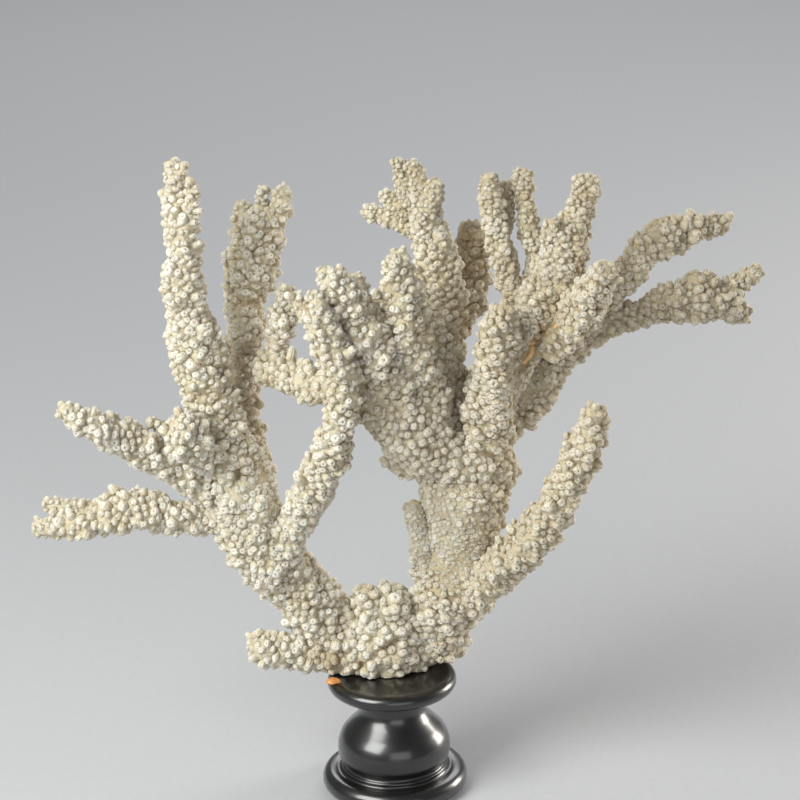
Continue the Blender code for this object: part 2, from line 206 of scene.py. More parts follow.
@dataclass
class MeshParts:
    """Arrays of several closed surfaces that become one mesh."""

    points: list[np.ndarray] = field(default_factory=list)
    quads: list[np.ndarray] = field(default_factory=list)
    triangles: list[np.ndarray] = field(default_factory=list)
    tints: list[np.ndarray] = field(default_factory=list)
    rosettes: list[np.ndarray] = field(default_factory=list)
    count: int = 0

    def add(self, points: np.ndarray, quads: np.ndarray, triangles: np.ndarray, tints: np.ndarray,
            rosettes: np.ndarray | None = None) -> None:
        """Append one surface, its faces numbered from its own first point.

        Args:
            points: Positions in millimetres, one row each.
            quads: Point numbers, four to a row.
            triangles: Point numbers, three to a row.
            tints: Four numbers for each point, which the finish reads.
            rosettes: Each point's place across its corallite in outer radii, and
                the corallite's radius in millimetres; nothing stands for zeros.
        """
        self.rosettes.append(np.zeros((len(points), 3)) if rosettes is None else rosettes)
        self.points.append(points)
        self.quads.append(quads + self.count)
        self.triangles.append(triangles + self.count)
        self.tints.append(tints)
        self.count += len(points)

    def mesh(self, name: str) -> bpy.types.Mesh:
        """Write everything into a new smooth-shaded mesh, kept inside the CAD box.

        Args:
            name: The mesh's name.

        Returns:
            The mesh, with the point attributes growth and rosette.
        """
        low, high = (np.array(corner) for corner in CAD_BOX)
        points = np.clip(np.concatenate(self.points) * MM, low, high)
        quads = np.concatenate(self.quads).reshape(-1, 4)
        triangles = np.concatenate(self.triangles).reshape(-1, 3)
        loops = np.concatenate((quads.ravel(), triangles.ravel())).astype(np.int32)
        totals = np.repeat((4, 3), (len(quads), len(triangles))).astype(np.int32)
        starts = (np.cumsum(totals) - totals).astype(np.int32)
        data = bpy.data.meshes.new(name)
        data.vertices.add(len(points))
        data.vertices.foreach_set("co", points.astype(np.float32).ravel())
        data.loops.add(len(loops))
        data.loops.foreach_set("vertex_index", loops)
        data.polygons.add(len(totals))
        data.polygons.foreach_set("loop_start", starts)
        data.polygons.foreach_set("loop_total", totals)
        data.polygons.foreach_set("use_smooth", np.ones(len(totals), dtype=bool))
        data.update(calc_edges=True)
        tint = data.attributes.new("growth", "FLOAT_COLOR", "POINT")
        tint.data.foreach_set("color", np.concatenate(self.tints).astype(np.float32).ravel())
        rosette = data.attributes.new("rosette", "FLOAT_VECTOR", "POINT")
        rosette.data.foreach_set("vector", np.concatenate(self.rosettes).astype(np.float32).ravel())
        data.validate()
        return data


def tube_faces(rows: int, around: int) -> tuple[np.ndarray, np.ndarray]:
    """Faces of a closed tube: quads between its rings and triangles to its two poles.

    Point number row * around + column is on ring row. The start pole and the end
    pole are the two points after the rings.

    Args:
        rows: How many rings there are.
        around: How many points a ring has.

    Returns:
        The quads and the triangles, facing outwards when the columns turn
        anticlockwise as seen from the end pole.
    """
    column = np.arange(around)
    after = (column + 1) % around
    base = np.arange(rows - 1)[:, None] * around
    near, far = base + column, base + after
    quads = np.stack((near, far, far + around, near + around), axis=-1)
    start_pole, end_pole = rows * around, rows * around + 1
    first = np.stack((after, column, np.full(around, start_pole)), axis=-1)
    last_ring = (rows - 1) * around
    last = np.stack((last_ring + column, last_ring + after, np.full(around, end_pole)), axis=-1)
    return quads.reshape(-1, 4), np.concatenate((first, last))


# The coral


class Growth(Enum):
    """How corallites stand on a patch of skin, against the usual ones.

    Each is (size, height, density, tilt, clumping, opening): factors on the
    corallites' radius, height, number, lean towards the tip, on the height of
    the clumps they stand on and on the width of their calices.
    """

    COARSE = (1.15, 0.95, 1.0, 0.35, 0.5, 0.6)
    KNOBBED = (1.15, 0.85, 1.0, 0.5, 1.0, 0.7)
    RINGED = (0.92, 0.75, 0.95, 0.5, 0.8, 1.1)
    NUBBED = (0.8, 0.8, 1.0, 0.7, 0.8, 0.7)
    FINE = (0.66, 0.38, 0.95, 0.6, 0.4, 0.8)


@dataclass(frozen=True)
class Patch:
    """A ball of skin that grew unlike the rest: centre and reach in millimetres."""

    centre: tuple[float, float, float]
    reach: float
    growth: Growth


@dataclass(frozen=True)
class StainAndShade:
    """A real stain, or painted shade in a cleft or hollow: its centre and reach in millimetres, its
    strength and its depth.

    The depth is how far the skin is sunk there, in millimetres. The mark is tan up
    to a strength of 0.9, and a bright ochre vein above that.
    """

    centre: tuple[float, float, float]
    reach: float
    strength: float
    depth: float = 0.0


def stain_and_shade_row(reach: float, strength: float, depth: float,
              *centres: tuple[float, float, float]) -> tuple[StainAndShade, ...]:
    """Stains and painted shades of one reach, strength and depth, one at each centre."""
    return tuple(StainAndShade(centre, reach, strength, depth) for centre in centres)


@dataclass(frozen=True)
class Route:
    """A tapered stem through chosen points of (x, y, z, outer radius) in millimetres."""

    points: tuple[tuple[float, float, float, float], ...]

    def samples(self, step: float) -> np.ndarray:
        """Points and radii at even steps along the Catmull-Rom curve through the route.

        Between two points the curve is start + leave s + (3 straight - 2 leave -
        arrive) s^2 + (leave + arrive - 2 straight) s^3, with leave and arrive half
        the way between the neighbours.

        Args:
            step: The wanted spacing in millimetres.

        Returns:
            Rows of (x, y, z, radius).
        """
        known = np.array(self.points, dtype=float)
        padded = np.concatenate(([2 * known[0] - known[1]], known, [2 * known[-1] - known[-2]]))
        before, start, end, after = (padded[i:len(padded) - 3 + i] for i in range(4))
        share = np.linspace(0.0, 1.0, CURVE_STEPS, endpoint=False)[None, :, None]
        straight, leave, arrive = end - start, (end - before) / 2, (after - start) / 2
        fine = (start[:, None] + leave[:, None] * share
                + (3 * straight - 2 * leave - arrive)[:, None] * share ** 2
                + (leave + arrive - 2 * straight)[:, None] * share ** 3)
        fine = np.concatenate((fine.reshape(-1, 4), known[-1:]))
        steps = np.linalg.norm(np.diff(fine[:, :3], axis=0), axis=1)
        length = np.concatenate(([0.0], np.cumsum(steps)))
        count = max(3, int(round(length[-1] / step)))
        places = np.linspace(0.0, length[-1], count + 1)
        return np.stack([np.interp(places, length, fine[:, axis]) for axis in range(4)], axis=1)

    def skin(self, step: float, inset: float) -> np.ndarray:
        """The samples with the skin's radius, which is less by the inset or by INSET_SHARE.

        Args:
            step: The wanted spacing in millimetres.
            inset: How far the corallites stand out of the skin.

        Returns:
            Rows of (x, y, z, radius).
        """
        rows = self.samples(step)
        rows[:, 3] -= np.minimum(inset, INSET_SHARE * rows[:, 3])
        return rows


@dataclass(frozen=True)
class Limb:
    """A limb of the coral: its node's name, its own route and then those of its twigs."""

    name: str
    routes: tuple[Route, ...]


def limb(name: str, *routes: tuple[tuple[float, float, float, float], ...]) -> Limb:
    """A limb from plain tuples of route points."""
    return Limb(name, tuple(Route(points) for points in routes))


LIMBS = (
    limb("coral_foot",
         ((0, 8, 54, 15.7), (-0.5, 6, 67, 14.4), (0.5, 4, 83, 9.7)),
         ((-1, 6, 60.5, 13.1), (-24, 6, 60.5, 11.9), (-40, 3, 61.5, 8.4), (-54, 1, 65, 7.4)),
         ((-4, 6, 59, 11.9), (10, 8, 59.5, 11.9), (23, 12, 60.5, 8.7)),
         ((5.5, 5, 66.5, 8.9), (15, 2, 79, 5.5)),
         ((-8, 2, 66.5, 7.6), (-10, 1, 86.5, 6.3))),
    limb("left_trunk",
         ((-17, 10, 61, 14.4), (-27.5, 8, 74, 14.4), (-39.5, 4, 95, 13.2), (-48.5, 2, 105, 15.8),
          (-54, 0, 117.5, 16.2), (-59, -2, 136, 14.4))),
    limb("right_trunk",
         ((17, 12, 60, 14), (24, 8, 82, 15.2), (29.5, 5, 105, 16.3), (33, 4, 130.5, 17.4),
          (34, 4, 145, 18.1)),
         ((18, 6, 88, 5.9), (15, 2, 104, 7.1), (13, 1, 116.5, 6), (11, 1, 125.5, 5)),
         ((28.5, 2, 128, 14.1), (19.5, 0, 143, 9.5), (6, -2, 151, 8.4)),
         ((40, 4, 141, 11.6), (46.5, 3, 143.5, 10.1))),
    limb("tall_left_branch",
         ((-58, -2, 134, 12.3), (-66, -2, 160, 12.7), (-72, -2, 186, 11.3), (-76.5, -1, 206, 11.9),
          (-78, 0, 216, 9), (-79, 0, 227.5, 8.2), (-78, 2, 237, 7.1), (-79, 3, 247.5, 6.9),
          (-80, 4, 258, 5.9), (-80.5, 5, 268, 4.3), (-81.5, 6, 273, 3.6)),
         ((-77, 0, 247.5, 4), (-73, -4, 260, 3), (-72.5, -6, 268.5, 2.4)),
         ((-79.5, 2, 267, 2.8), (-76, 0, 274, 2))),
    limb("rear_left_branch",
         ((-54.5, 10, 138, 9.6), (-58.5, 20, 166.5, 7.7), (-58, 27, 188.5, 8.3),
          (-55.5, 31, 207.5, 9.3), (-53.5, 33, 220.5, 12), (-50.5, 33.5, 232.5, 11.5),
          (-50, 33.5, 239, 10.7)),
         ((-54.5, 34, 240, 4.7), (-56, 36, 247.5, 4.1)),
         ((-48, 36, 241, 4.9), (-47.5, 36, 250, 3.5), (-46.5, 36, 254.5, 2.7)),
         ((-44, 34, 239.5, 5.8), (-39.5, 34, 248, 4.9), (-39.5, 35, 253, 4.3))),
    limb("left_front_stub",
         ((-70, -8, 154, 9), (-75.5, -16, 162.5, 8.9), (-80.5, -22, 171, 8.6)),
         ((-79, -10, 160, 5.3), (-89, -6, 166.5, 3.5), (-94.5, -6, 170, 2.6))),
    limb("upper_left_arm",
         ((-67.5, -2, 133.5, 9.1), (-83.5, -8, 149, 7.3), (-98.5, -14, 161.5, 7.9),
          (-113.5, -20, 172.5, 7.8), (-126, -24, 181.5, 4.4))),
    limb("lower_left_arm",
         ((-61, 0, 125, 8.3), (-81, -4, 127, 7.4), (-94, -5, 129.5, 8.4), (-106.5, -6, 132, 9.9),
          (-117.5, -6, 129.5, 7.6), (-123.5, -6, 128.5, 7.8), (-136.5, -6, 125, 5.1),
          (-143.5, -5, 124.5, 3.9)),
         ((-123.5, -6, 132, 4.9), (-139.5, -4, 134.5, 3.1))),
    limb("front_branch",
         ((-44, -4, 111, 7), (-33, -15, 136, 9), (-22, -25, 161, 8), (-16, -29.5, 181, 7.3),
          (-17.5, -31.5, 200, 7.3), (-20, -32, 208.5, 7), (-21.5, -32.5, 216.5, 6.6),
          (-23, -32.5, 222.5, 5.9), (-24.5, -33, 229.5, 4.1)),
         ((-23.5, -32, 217.5, 4.9), (-30.5, -31, 224.5, 3.3), (-33, -30, 229, 2.5))),
    limb("crossing_arm",
         ((30, 0, 148, 13.1), (15, -6, 158, 13.4), (3, -12, 172, 11.7), (-10, -16, 182.5, 8.8),
          (-23, -12, 184.5, 7.4), (-34.5, -2, 185.5, 7.9), (-46, 8, 186.5, 8.2)),
         ((-45, 8, 187.5, 6.1), (-43, 11, 195.5, 5.3), (-41, 14, 204.5, 6.5),
          (-38.5, 18, 216, 3.9))),
    limb("low_right_branch",
         ((34, 0, 84.5, 9.6), (44.5, -9, 101, 10.1), (54.5, -16, 114, 10.4), (65, -22, 129, 10.1),
          (74, -28, 149, 9), (79.5, -31, 163, 8.4), (83, -33, 174, 5.9), (83.5, -33, 177.5, 4.7))),
    limb("right_arm",
         ((39.5, 6, 154.5, 12.4), (46.5, 8, 163, 11.5), (56, 10, 170, 13.6), (69, 14, 186.5, 10.9),
          (78, 16, 192, 9.2), (87, 18, 198, 8.6), (98.5, 20, 199.5, 6.2), (110, 22, 201.5, 5.8),
          (118.5, 24, 205, 7.8), (126, 26, 205.5, 9.3), (136, 28, 204.5, 10.3),
          (141.5, 30, 203, 9.1)),
         ((145.5, 31, 207.5, 5.4), (153.5, 32, 213, 4.3), (156, 32, 214.5, 3.9)),
         ((141.5, 29, 200, 6.2), (150, 31, 196.5, 4.8)),
         ((131, 27, 208.5, 5.8), (135, 28, 214.5, 2.9)),
         ((53, 8, 176, 9), (63.5, 8, 173, 10.1))),
    limb("tall_middle_branch",
         ((26, 6, 154, 12.8), (24, 10, 183, 10.7), (24.5, 11, 200, 9.8), (25, 12, 212.5, 9.4),
          (23.5, 14, 229.5, 9.1), (21, 16, 240, 8.1), (19, 16, 250, 6.9), (16.5, 17, 259.5, 5.2),
          (14.5, 18, 267, 3.8)),
         ((13, 17, 251, 4), (10, 18, 262.5, 3.2), (8.5, 18, 269, 2.8)),
         ((20.5, 14, 247.5, 5.2), (23, 12, 260, 4.4)),
         ((17, 17, 255.5, 4), (18, 17, 263, 2.6)),
         ((19, 18, 238, 4.7), (10, 22, 242.5, 4.3), (3.5, 25, 244, 4.3), (-2.5, 26, 246.5, 4.3)),
         ((12.5, 20, 244.5, 4.1), (7, 22, 251, 3.9), (4, 23, 254, 3.2))),
    limb("right_crown_branch",
         ((39, 2, 164, 13.1), (52, 0, 188, 12.2), (60, 0, 204, 11.3), (67, 0, 218, 11.1),
          (74, 1, 231.5, 11), (76, 2, 239, 9.4), (82, 4, 253, 6.8), (83.5, 5, 260.5, 6.6)),
         ((70, 0, 241, 5.6), (69.5, -2, 246.5, 4.4))),
    limb("upper_right_arm",
         ((82.5, 16, 203.5, 8.6), (97.5, 22, 214.5, 6.6), (105.5, 25, 221.5, 6.6),
          (112, 28, 228.5, 8.2), (118.5, 32, 229.5, 8.9), (128, 36, 232.5, 6.4),
          (136, 39, 232.5, 5), (143, 41, 233, 4.4))),
    limb("right_front_stub",
         ((68, 0, 196, 9.7), (81.5, -14, 218, 8.5), (88.5, -24, 232.5, 6.5))),
    limb("inner_crown_branch",
         ((61, 4, 199.5, 7.3), (57, 8, 212, 6.1), (53, 11, 219, 6.3), (50.5, 12, 229.5, 6.7),
          (47.5, 14, 240, 6.3), (46.5, 16, 248, 6.5), (45.5, 18, 260.5, 4.4)),
         ((52, 16, 238, 2.8), (54, 22, 246, 2), (53, 27, 255, 3.3))),
    limb("thin_crown_branch",
         ((60, 6, 200, 7.3), (64.5, 14, 225.5, 6.1), (61.5, 18, 238.5, 5.5), (60, 21, 249.5, 4.5),
          (58.5, 24, 260, 4.3), (58.5, 24, 261.5, 3.2)),
         ((60.5, 22, 254, 3.2), (61.5, 22, 261.5, 2.4))),
    limb("rear_crown_branch",
         ((26, 14, 160, 9.1), (26.5, 27, 185, 6.6), (33, 30, 198, 6.4), (36, 31, 205.5, 7.5),
          (38.5, 32, 212.5, 8.1), (39, 33, 222, 7.4), (39, 35, 234.5, 5.8))),
    limb("middle_front_stub",
         ((20, -4, 170, 10.6), (12, -14, 202, 9.2), (9, -20, 224, 7.9), (7.5, -24, 240.5, 5.1))),
    limb("slanted_front_branch",
         ((15, -6, 166, 11), (2, -16, 193, 10.8), (-7, -22, 213.5, 9.5), (-14.5, -26, 228.5, 7.6),
          (-18.5, -27, 234, 5.5)),
         ((-16, -26, 229, 4.7), (-21.5, -27, 237, 3.5)),
         ((-3, -16, 208, 5.6), (-10, -10, 228.5, 4.2))),
    limb("small_rear_stub",
         ((12, 2, 180, 6.9), (2, 14, 205, 4.9), (-0.5, 16, 213, 2.9))),
    limb("right_leaf_stub",
         ((43, -2, 158, 12.3), (45.5, -12, 189.5, 10), (46.5, -16, 203, 9.4), (48.5, -19, 212, 7.1),
          (49.5, -20, 216, 4.7))),
)

PATCHES = (
    Patch((15, -16, 160), 25, Growth.COARSE),
    Patch((46, -8, 146), 15, Growth.KNOBBED),
    Patch((-12, -4, 60), 36, Growth.KNOBBED),
    Patch((24, -10, 68), 20, Growth.KNOBBED),
    Patch((-50, -12, 128), 30, Growth.RINGED),
    Patch((22, -10, 116), 28, Growth.FINE),
    Patch((54, -22, 140), 15, Growth.FINE),
    Patch((74, -22, 140), 15, Growth.KNOBBED),
    Patch((84, -28, 162), 15, Growth.KNOBBED),
    Patch((56, -4, 182), 18, Growth.FINE),
    Patch((62, 4, 248), 42, Growth.NUBBED),
    Patch((16, 10, 256), 30, Growth.NUBBED),
)

STAINS_AND_SHADES = (
    # Painted shade in the slit where left_trunk and tall_left_branch meet, and in a dent by
    # front_branch
    *stain_and_shade_row(2.6, 0.9, 3.0, (-60, -11, 149), (-59.6, -12, 147), (-59.3, -13, 145)),
    StainAndShade((-41.4, -14, 138), 4, 0.7, 1.2),
    # Painted shade on the rear limbs and between the feet of the crown's limbs
    StainAndShade((-55, 20, 187), 12, 0.5),
    StainAndShade((-56, 16, 171), 12, 0.55),
    StainAndShade((36, 29, 232), 12, 0.5),
    StainAndShade((37, 28, 222), 10, 0.5),
    StainAndShade((32, 12, 203), 9, 0.5),
    *stain_and_shade_row(4, 0.6, 0.0, (28, -8, 170), (32, -12, 165)),
    # Painted shade in the cleft at the right trunk's fork, below right_leaf_stub
    StainAndShade((42.5, -13.5, 156), 3, 0.8, 0.8),
    StainAndShade((43.3, -12.5, 152.5), 2.6, 0.8, 0.8),
    StainAndShade((44, -11.5, 149.5), 2.6, 0.6, 0.8),
    # The ochre vein up right_crown_branch, and a spot on right_front_stub
    StainAndShade((56, -6.5, 188.5), 3.4, 0.9, 0.9),
    *stain_and_shade_row(3.4, 2.0, 0.9, (57.4, -7.3, 191), (58.6, -8, 193), (59.8, -8.6, 195),
               (61.2, -8.9, 197.5), (62.6, -9, 200), (64.2, -8.8, 202)),
    StainAndShade((65.7, -8.6, 203.8), 3.4, 1.9, 0.8),
    *stain_and_shade_row(3.2, 1.8, 0.8, (67.2, -9.2, 205.8), (68.6, -10, 207.6), (71.6, -10.5, 210.5)),
    StainAndShade((76.5, -19, 217.5), 3, 0.7),
    # Painted shade in the foot's pit, its upright crack, along the ledge across its front and in
    # the recess at its left
    StainAndShade((-39.7, -1, 69.3), 2.8, 0.85, 2.6),
    *stain_and_shade_row(2.7, 0.85, 3.0, (-15.2, 0.5, 86.3), (-15, 0.8, 81.5), (-15.1, 1, 77)),
    *stain_and_shade_row(2.7, 0.75, 2.8, (3.5, -5.6, 69.4), (0.5, -5.8, 67.6), (-2, -6, 66.4),
               (-4.6, -6, 65.2), (-7.2, -5.3, 63), (-9.7, -4.6, 60.6), (-12.3, -4, 58.3),
               (-14.9, -3.4, 56.1)),
    StainAndShade((-23.6, -5, 61), 8, 0.7),
    StainAndShade((-31, -4, 63), 7, 0.6),
)


@dataclass
class Stem:
    """A route as arrays along its meridian, from its start to the pole of its rounded tip."""

    meridian: np.ndarray
    centre: np.ndarray
    tangent: np.ndarray
    radius: np.ndarray
    lean: np.ndarray

    @classmethod
    def along(cls, route: Route, step: float, inset: float) -> Stem:
        """Work out a stem's arrays.

        The skin lies inset inside the outer radius. Past the last point a quarter
        circle closes the tip: at lean angle a its ring has radius r cos(a) and
        stands r sin(a) ahead.

        Args:
            route: The stem's route.
            step: Spacing of the rings in millimetres.
            inset: How far the corallites stand out of the skin.

        Returns:
            The stem.
        """
        samples = route.skin(step, inset)
        centre, radius = samples[:, :3], samples[:, 3]
        tangent = unit(np.gradient(centre, axis=0))
        taper = np.arctan(-np.gradient(radius) / step)
        steps = max(3, int(round(radius[-1] * math.pi / 2 / step)))
        lean = np.linspace(0.0, math.pi / 2, steps + 1)[1:-1]
        ahead = radius[-1] * np.sin(lean)
        cap_centre = centre[-1] + tangent[-1] * ahead[:, None]
        centre = np.concatenate((centre, cap_centre))
        tangent = np.concatenate((tangent, np.repeat(tangent[-1:], len(lean), axis=0)))
        radius = np.concatenate((radius, radius[-1] * np.cos(lean)))
        lean = np.concatenate((np.clip(taper, -STEEPEST, STEEPEST), lean))
        skin = np.linalg.norm(np.diff(centre, axis=0), axis=1)
        meridian = np.concatenate(([0.0], np.cumsum(np.hypot(skin, np.diff(radius)))))
        return cls(meridian, centre, tangent, radius, lean)

    def pole(self) -> np.ndarray:
        """The point where the rounded tip closes.

        The last ring has radius r cos(a) and stands r sin(a) ahead, so the pole is
        r (1 - sin(a)) past it.

        Returns:
            The point in millimetres.
        """
        last_lean = self.lean[-1]
        full = self.radius[-1] / max(math.cos(last_lean), 1e-6)
        return self.centre[-1] + self.tangent[-1] * full * (1.0 - math.sin(last_lean))

    def at(self, places: np.ndarray) -> Stem:
        """The stem at other places along its meridian, by straight-line interpolation.

        Args:
            places: Distances along the meridian.

        Returns:
            A stem with one row for each place.
        """
        def between(values: np.ndarray) -> np.ndarray:
            """The values at the places."""
            return np.interp(places, self.meridian, values)

        centre = np.stack([between(self.centre[:, axis]) for axis in range(3)], axis=1)
        tangent = unit(np.stack([between(self.tangent[:, axis]) for axis in range(3)], axis=1))
        return Stem(places, centre, tangent, between(self.radius), between(self.lean))

    def outward(self, angles: np.ndarray) -> tuple[np.ndarray, np.ndarray]:
        """Directions square to the stem at each ring, and the skin's normals there.

        The side direction is the cross product of the tangent and the depth
        direction, so all rings of a stem share one zero angle.

        Args:
            angles: One row of angles for each ring.

        Returns:
            The directions and the normals, one row of vectors for each ring.
        """
        side = unit(np.cross(self.tangent, np.array([0.0, 1.0, 0.0])))
        across = np.cross(self.tangent, side)
        cos, sin = np.cos(angles)[..., None], np.sin(angles)[..., None]
        out = side[:, None] * cos + across[:, None] * sin
        lean = self.lean[:, None, None]
        normal = out * np.cos(lean) + self.tangent[:, None] * np.sin(lean)
        return out, normal


@dataclass
class Skeleton:
    """The whole coral as rows of balls along its stems, for asking how near other stems are.

    The skin lies in by the inset from the routes' outer radii. The balls are a step
    apart, and those past the reach aren't asked. Points are asked in blocks, which
    keeps the arrays small.
    """

    limbs: tuple[Limb, ...]
    inset: float
    step: float = 2.5
    reach: float = 25.0
    block: int = 4000
    balls: np.ndarray = field(init=False)
    owner: np.ndarray = field(init=False)

    def __post_init__(self) -> None:
        """Place the balls, and note the number of the stem that each belongs to."""
        rows = []
        owners = []
        for number, route in enumerate(route for one in self.limbs for route in one.routes):
            balls = route.skin(self.step, self.inset)
            rows.append(balls)
            owners.append(np.full(len(balls), number))
        self.balls = np.concatenate(rows)
        self.owner = np.concatenate(owners)

    def clearance(self, points: np.ndarray, own: int) -> tuple[np.ndarray, np.ndarray]:
        """Distance from each point to the nearest skin of another stem, negative inside it.

        Args:
            points: Positions in millimetres, one row each.
            own: The number of the stem that the points belong to.

        Returns:
            The least of |point - centre| - radius over the other stems' balls, and
            the number of the stem that it belongs to.
        """
        low, high = points.min(axis=0) - self.reach, points.max(axis=0) + self.reach
        centre = self.balls[:, :3]
        within = np.all((centre > low) & (centre < high), axis=1)
        near = np.flatnonzero((self.owner != own) & within)
        nearest = np.full(len(points), self.reach)
        owner = np.full(len(points), own)
        if not len(near):
            return nearest, owner
        balls, owners = self.balls[near], self.owner[near]
        blocks = max(1, len(points) // self.block)
        for rows in np.array_split(np.arange(len(points)), blocks):
            away = np.linalg.norm(points[rows, None] - balls[None, :, :3], axis=2)
            gaps = away - balls[None, :, 3]
            best = gaps.argmin(axis=1)
            nearest[rows] = gaps[np.arange(len(rows)), best]
            owner[rows] = owners[best]
        return nearest, owner


@dataclass
class Cups:
    """Corallites that wait to be built, one row each in every array.

    The foot is where the axis meets the skin, and the normal is the skin's there.
    The radius is the outer one, the height is the lip's above the skin, and the
    opening is the calice's radius as a share of the outer one. The tint is four
    numbers for the finish, of which the cup's shape sets the first and third.
    """

    foot: np.ndarray
    normal: np.ndarray
    axis: np.ndarray
    radius: np.ndarray
    height: np.ndarray
    opening: np.ndarray
    tint: np.ndarray

    def chosen(self, keep: np.ndarray) -> Cups:
        """The corallites that keep is true for."""
        return Cups(*(getattr(self, one.name)[keep] for one in fields(self)))


@dataclass(frozen=True)
class CupShape:
    """The shape of a corallite: a soft mound with a small ring round the calice at its top.

    Its rings go up from a foot sunk in the skin to the lip. A ring's width is its
    factor times the corallite's radius, and its level its factor times the height.
    The foot lies along the skin and the lip square to the corallite's axis, with
    the rings between them blended. Every other point of a ribbed ring stands back
    by the rib's share. The calice is as deep as its radius times calice_depth.
    """

    segments: int
    widths: tuple[float, ...]
    rib: float
    raggedness: float
    levels: tuple[float, ...] = (0.0, 0.15, 0.62, 0.92, 1.0)
    lightness: tuple[float, ...] = (0.0, 0.15, 0.45, 0.9, 1.0)
    ovalness: float = 0.12
    sunk_share: float = 0.6
    calice_depth: float = 1.2

    def rings(self, cups: Cups, turn: np.ndarray, widths: np.ndarray,
              rng: np.random.Generator) -> np.ndarray:
        """The points of the cups' rings.

        A point is foot + axis level + around width, with both measures a little
        rough. Around is cos(turn) first + sin(turn) second, two directions square to
        the axis, less its part along the normal times 1 - the ring's level.

        Args:
            cups: The corallites.
            turn: Angles round the axis, one row for each cup.
            widths: The rings' radii, one row for each cup.
            rng: Source of the small irregularities.

        Returns:
            Points by cup, ring and angle.
        """
        normal, axis, radius = cups.normal, cups.axis, cups.radius
        shares = np.array(self.levels)
        shape = (len(radius), len(shares), self.segments)
        first = unit(np.cross(axis, np.array(ASIDE)))
        second = np.cross(axis, first)
        oval = rng.uniform(-self.ovalness, self.ovalness, (len(radius), 1))
        squash = 1.0 + oval * np.cos(2.0 * turn)
        rough = rng.normal(0.0, self.raggedness, shape)
        ribbed = squash[:, None] * (1.0 - self.rib * (np.arange(self.segments) % 2) + rough)
        around = (first[:, None] * np.cos(turn)[..., None]
                  + second[:, None] * np.sin(turn)[..., None])
        lean = np.einsum("csk,ck->cs", around, normal)[:, None] * (1.0 - shares)[:, None]
        around = around[:, None] - normal[:, None, None] * lean[..., None]
        ragged = rng.normal(0.0, self.raggedness, shape) * radius[:, None, None]
        ragged[:, 0] = 0.0
        levels = np.outer(cups.height, shares)[:, :, None] + ragged
        rings = (cups.foot[:, None, None] + axis[:, None, None] * levels[..., None]
                 + around * (widths[:, :, None] * ribbed)[..., None])
        rings[:, 0] -= (normal * (self.sunk_share * radius)[:, None])[:, None]
        return rings

    def faces(self, count: int) -> tuple[np.ndarray, np.ndarray]:
        """Faces of the cups: their walls, the fans down into the calices and the undersides.

        Args:
            count: How many cups there are.

        Returns:
            The quads and the triangles.
        """
        segments, lip = self.segments, (len(self.levels) - 1) * self.segments
        bottom = lip + segments
        wall, _ = tube_faces(len(self.levels), segments)
        column = np.arange(segments)
        after = (column + 1) % segments
        fan = np.stack((lip + column, lip + after, np.full(segments, bottom)), axis=-1)
        under = np.stack((np.zeros(segments - 2, dtype=int), column[2:], column[1:-1]), axis=-1)
        start = (np.arange(count) * (bottom + 1))[:, None, None]
        triangles = np.concatenate((fan, under))
        return (wall + start).reshape(-1, 4), (triangles + start).reshape(-1, 3)

    def add(self, parts: MeshParts, cups: Cups, rng: np.random.Generator) -> None:
        """Add corallites as small closed cups.

        Args:
            parts: Receives the cups.
            cups: The corallites.
            rng: Source of the small irregularities.
        """
        radius, count, segments = cups.radius, len(cups.foot), self.segments
        turn = rng.uniform(0.0, math.tau, count)[:, None]
        turn = turn + np.arange(segments) * math.tau / segments
        lip_radius = radius * cups.opening
        widths = np.concatenate((np.outer(radius, self.widths), lip_radius[:, None]), axis=1)
        rings = self.rings(cups, turn, widths, rng)
        bottom = cups.foot + cups.axis * (cups.height - lip_radius * self.calice_depth)[:, None]
        points = np.concatenate((rings.reshape(count, -1, 3), bottom[:, None]), axis=1)
        points[..., 2] = np.maximum(points[..., 2], SAWN_PLANE)
        tints = np.repeat(cups.tint[:, None], points.shape[1], axis=1)
        # Each ring's lightness runs from the skin's colour at the foot to the pale lip: partly the
        # corallite's own tone, partly painted shade in the seams between corallites
        tints[:, :, 0] = np.repeat((*self.lightness, 1.0), [segments] * len(self.levels) + [1])
        # Painted shade: the calice's bottom point is darkened, as if in the pit's shadow
        tints[:, -1, 2] = 1.0
        across = np.stack((np.cos(turn), np.sin(turn)), axis=-1)
        places = (widths / radius[:, None])[:, :, None, None] * across[:, None]
        rosettes = np.zeros(points.shape)
        rosettes[:, :-1, :2] = places.reshape(count, -1, 2)
        rosettes[:, :, 2] = radius[:, None]
        quads, triangles = self.faces(count)
        parts.add(points.reshape(-1, 3), quads, triangles, tints.reshape(-1, 4),
                  rosettes.reshape(-1, 3))


SMALL_CUP = CupShape(8, (1.6, 1.3, 1.08, 0.72), 0.0, 0.05)
RIBBED_CUP = CupShape(12, (1.5, 1.26, 1.06, 0.7), 0.08, 0.04)


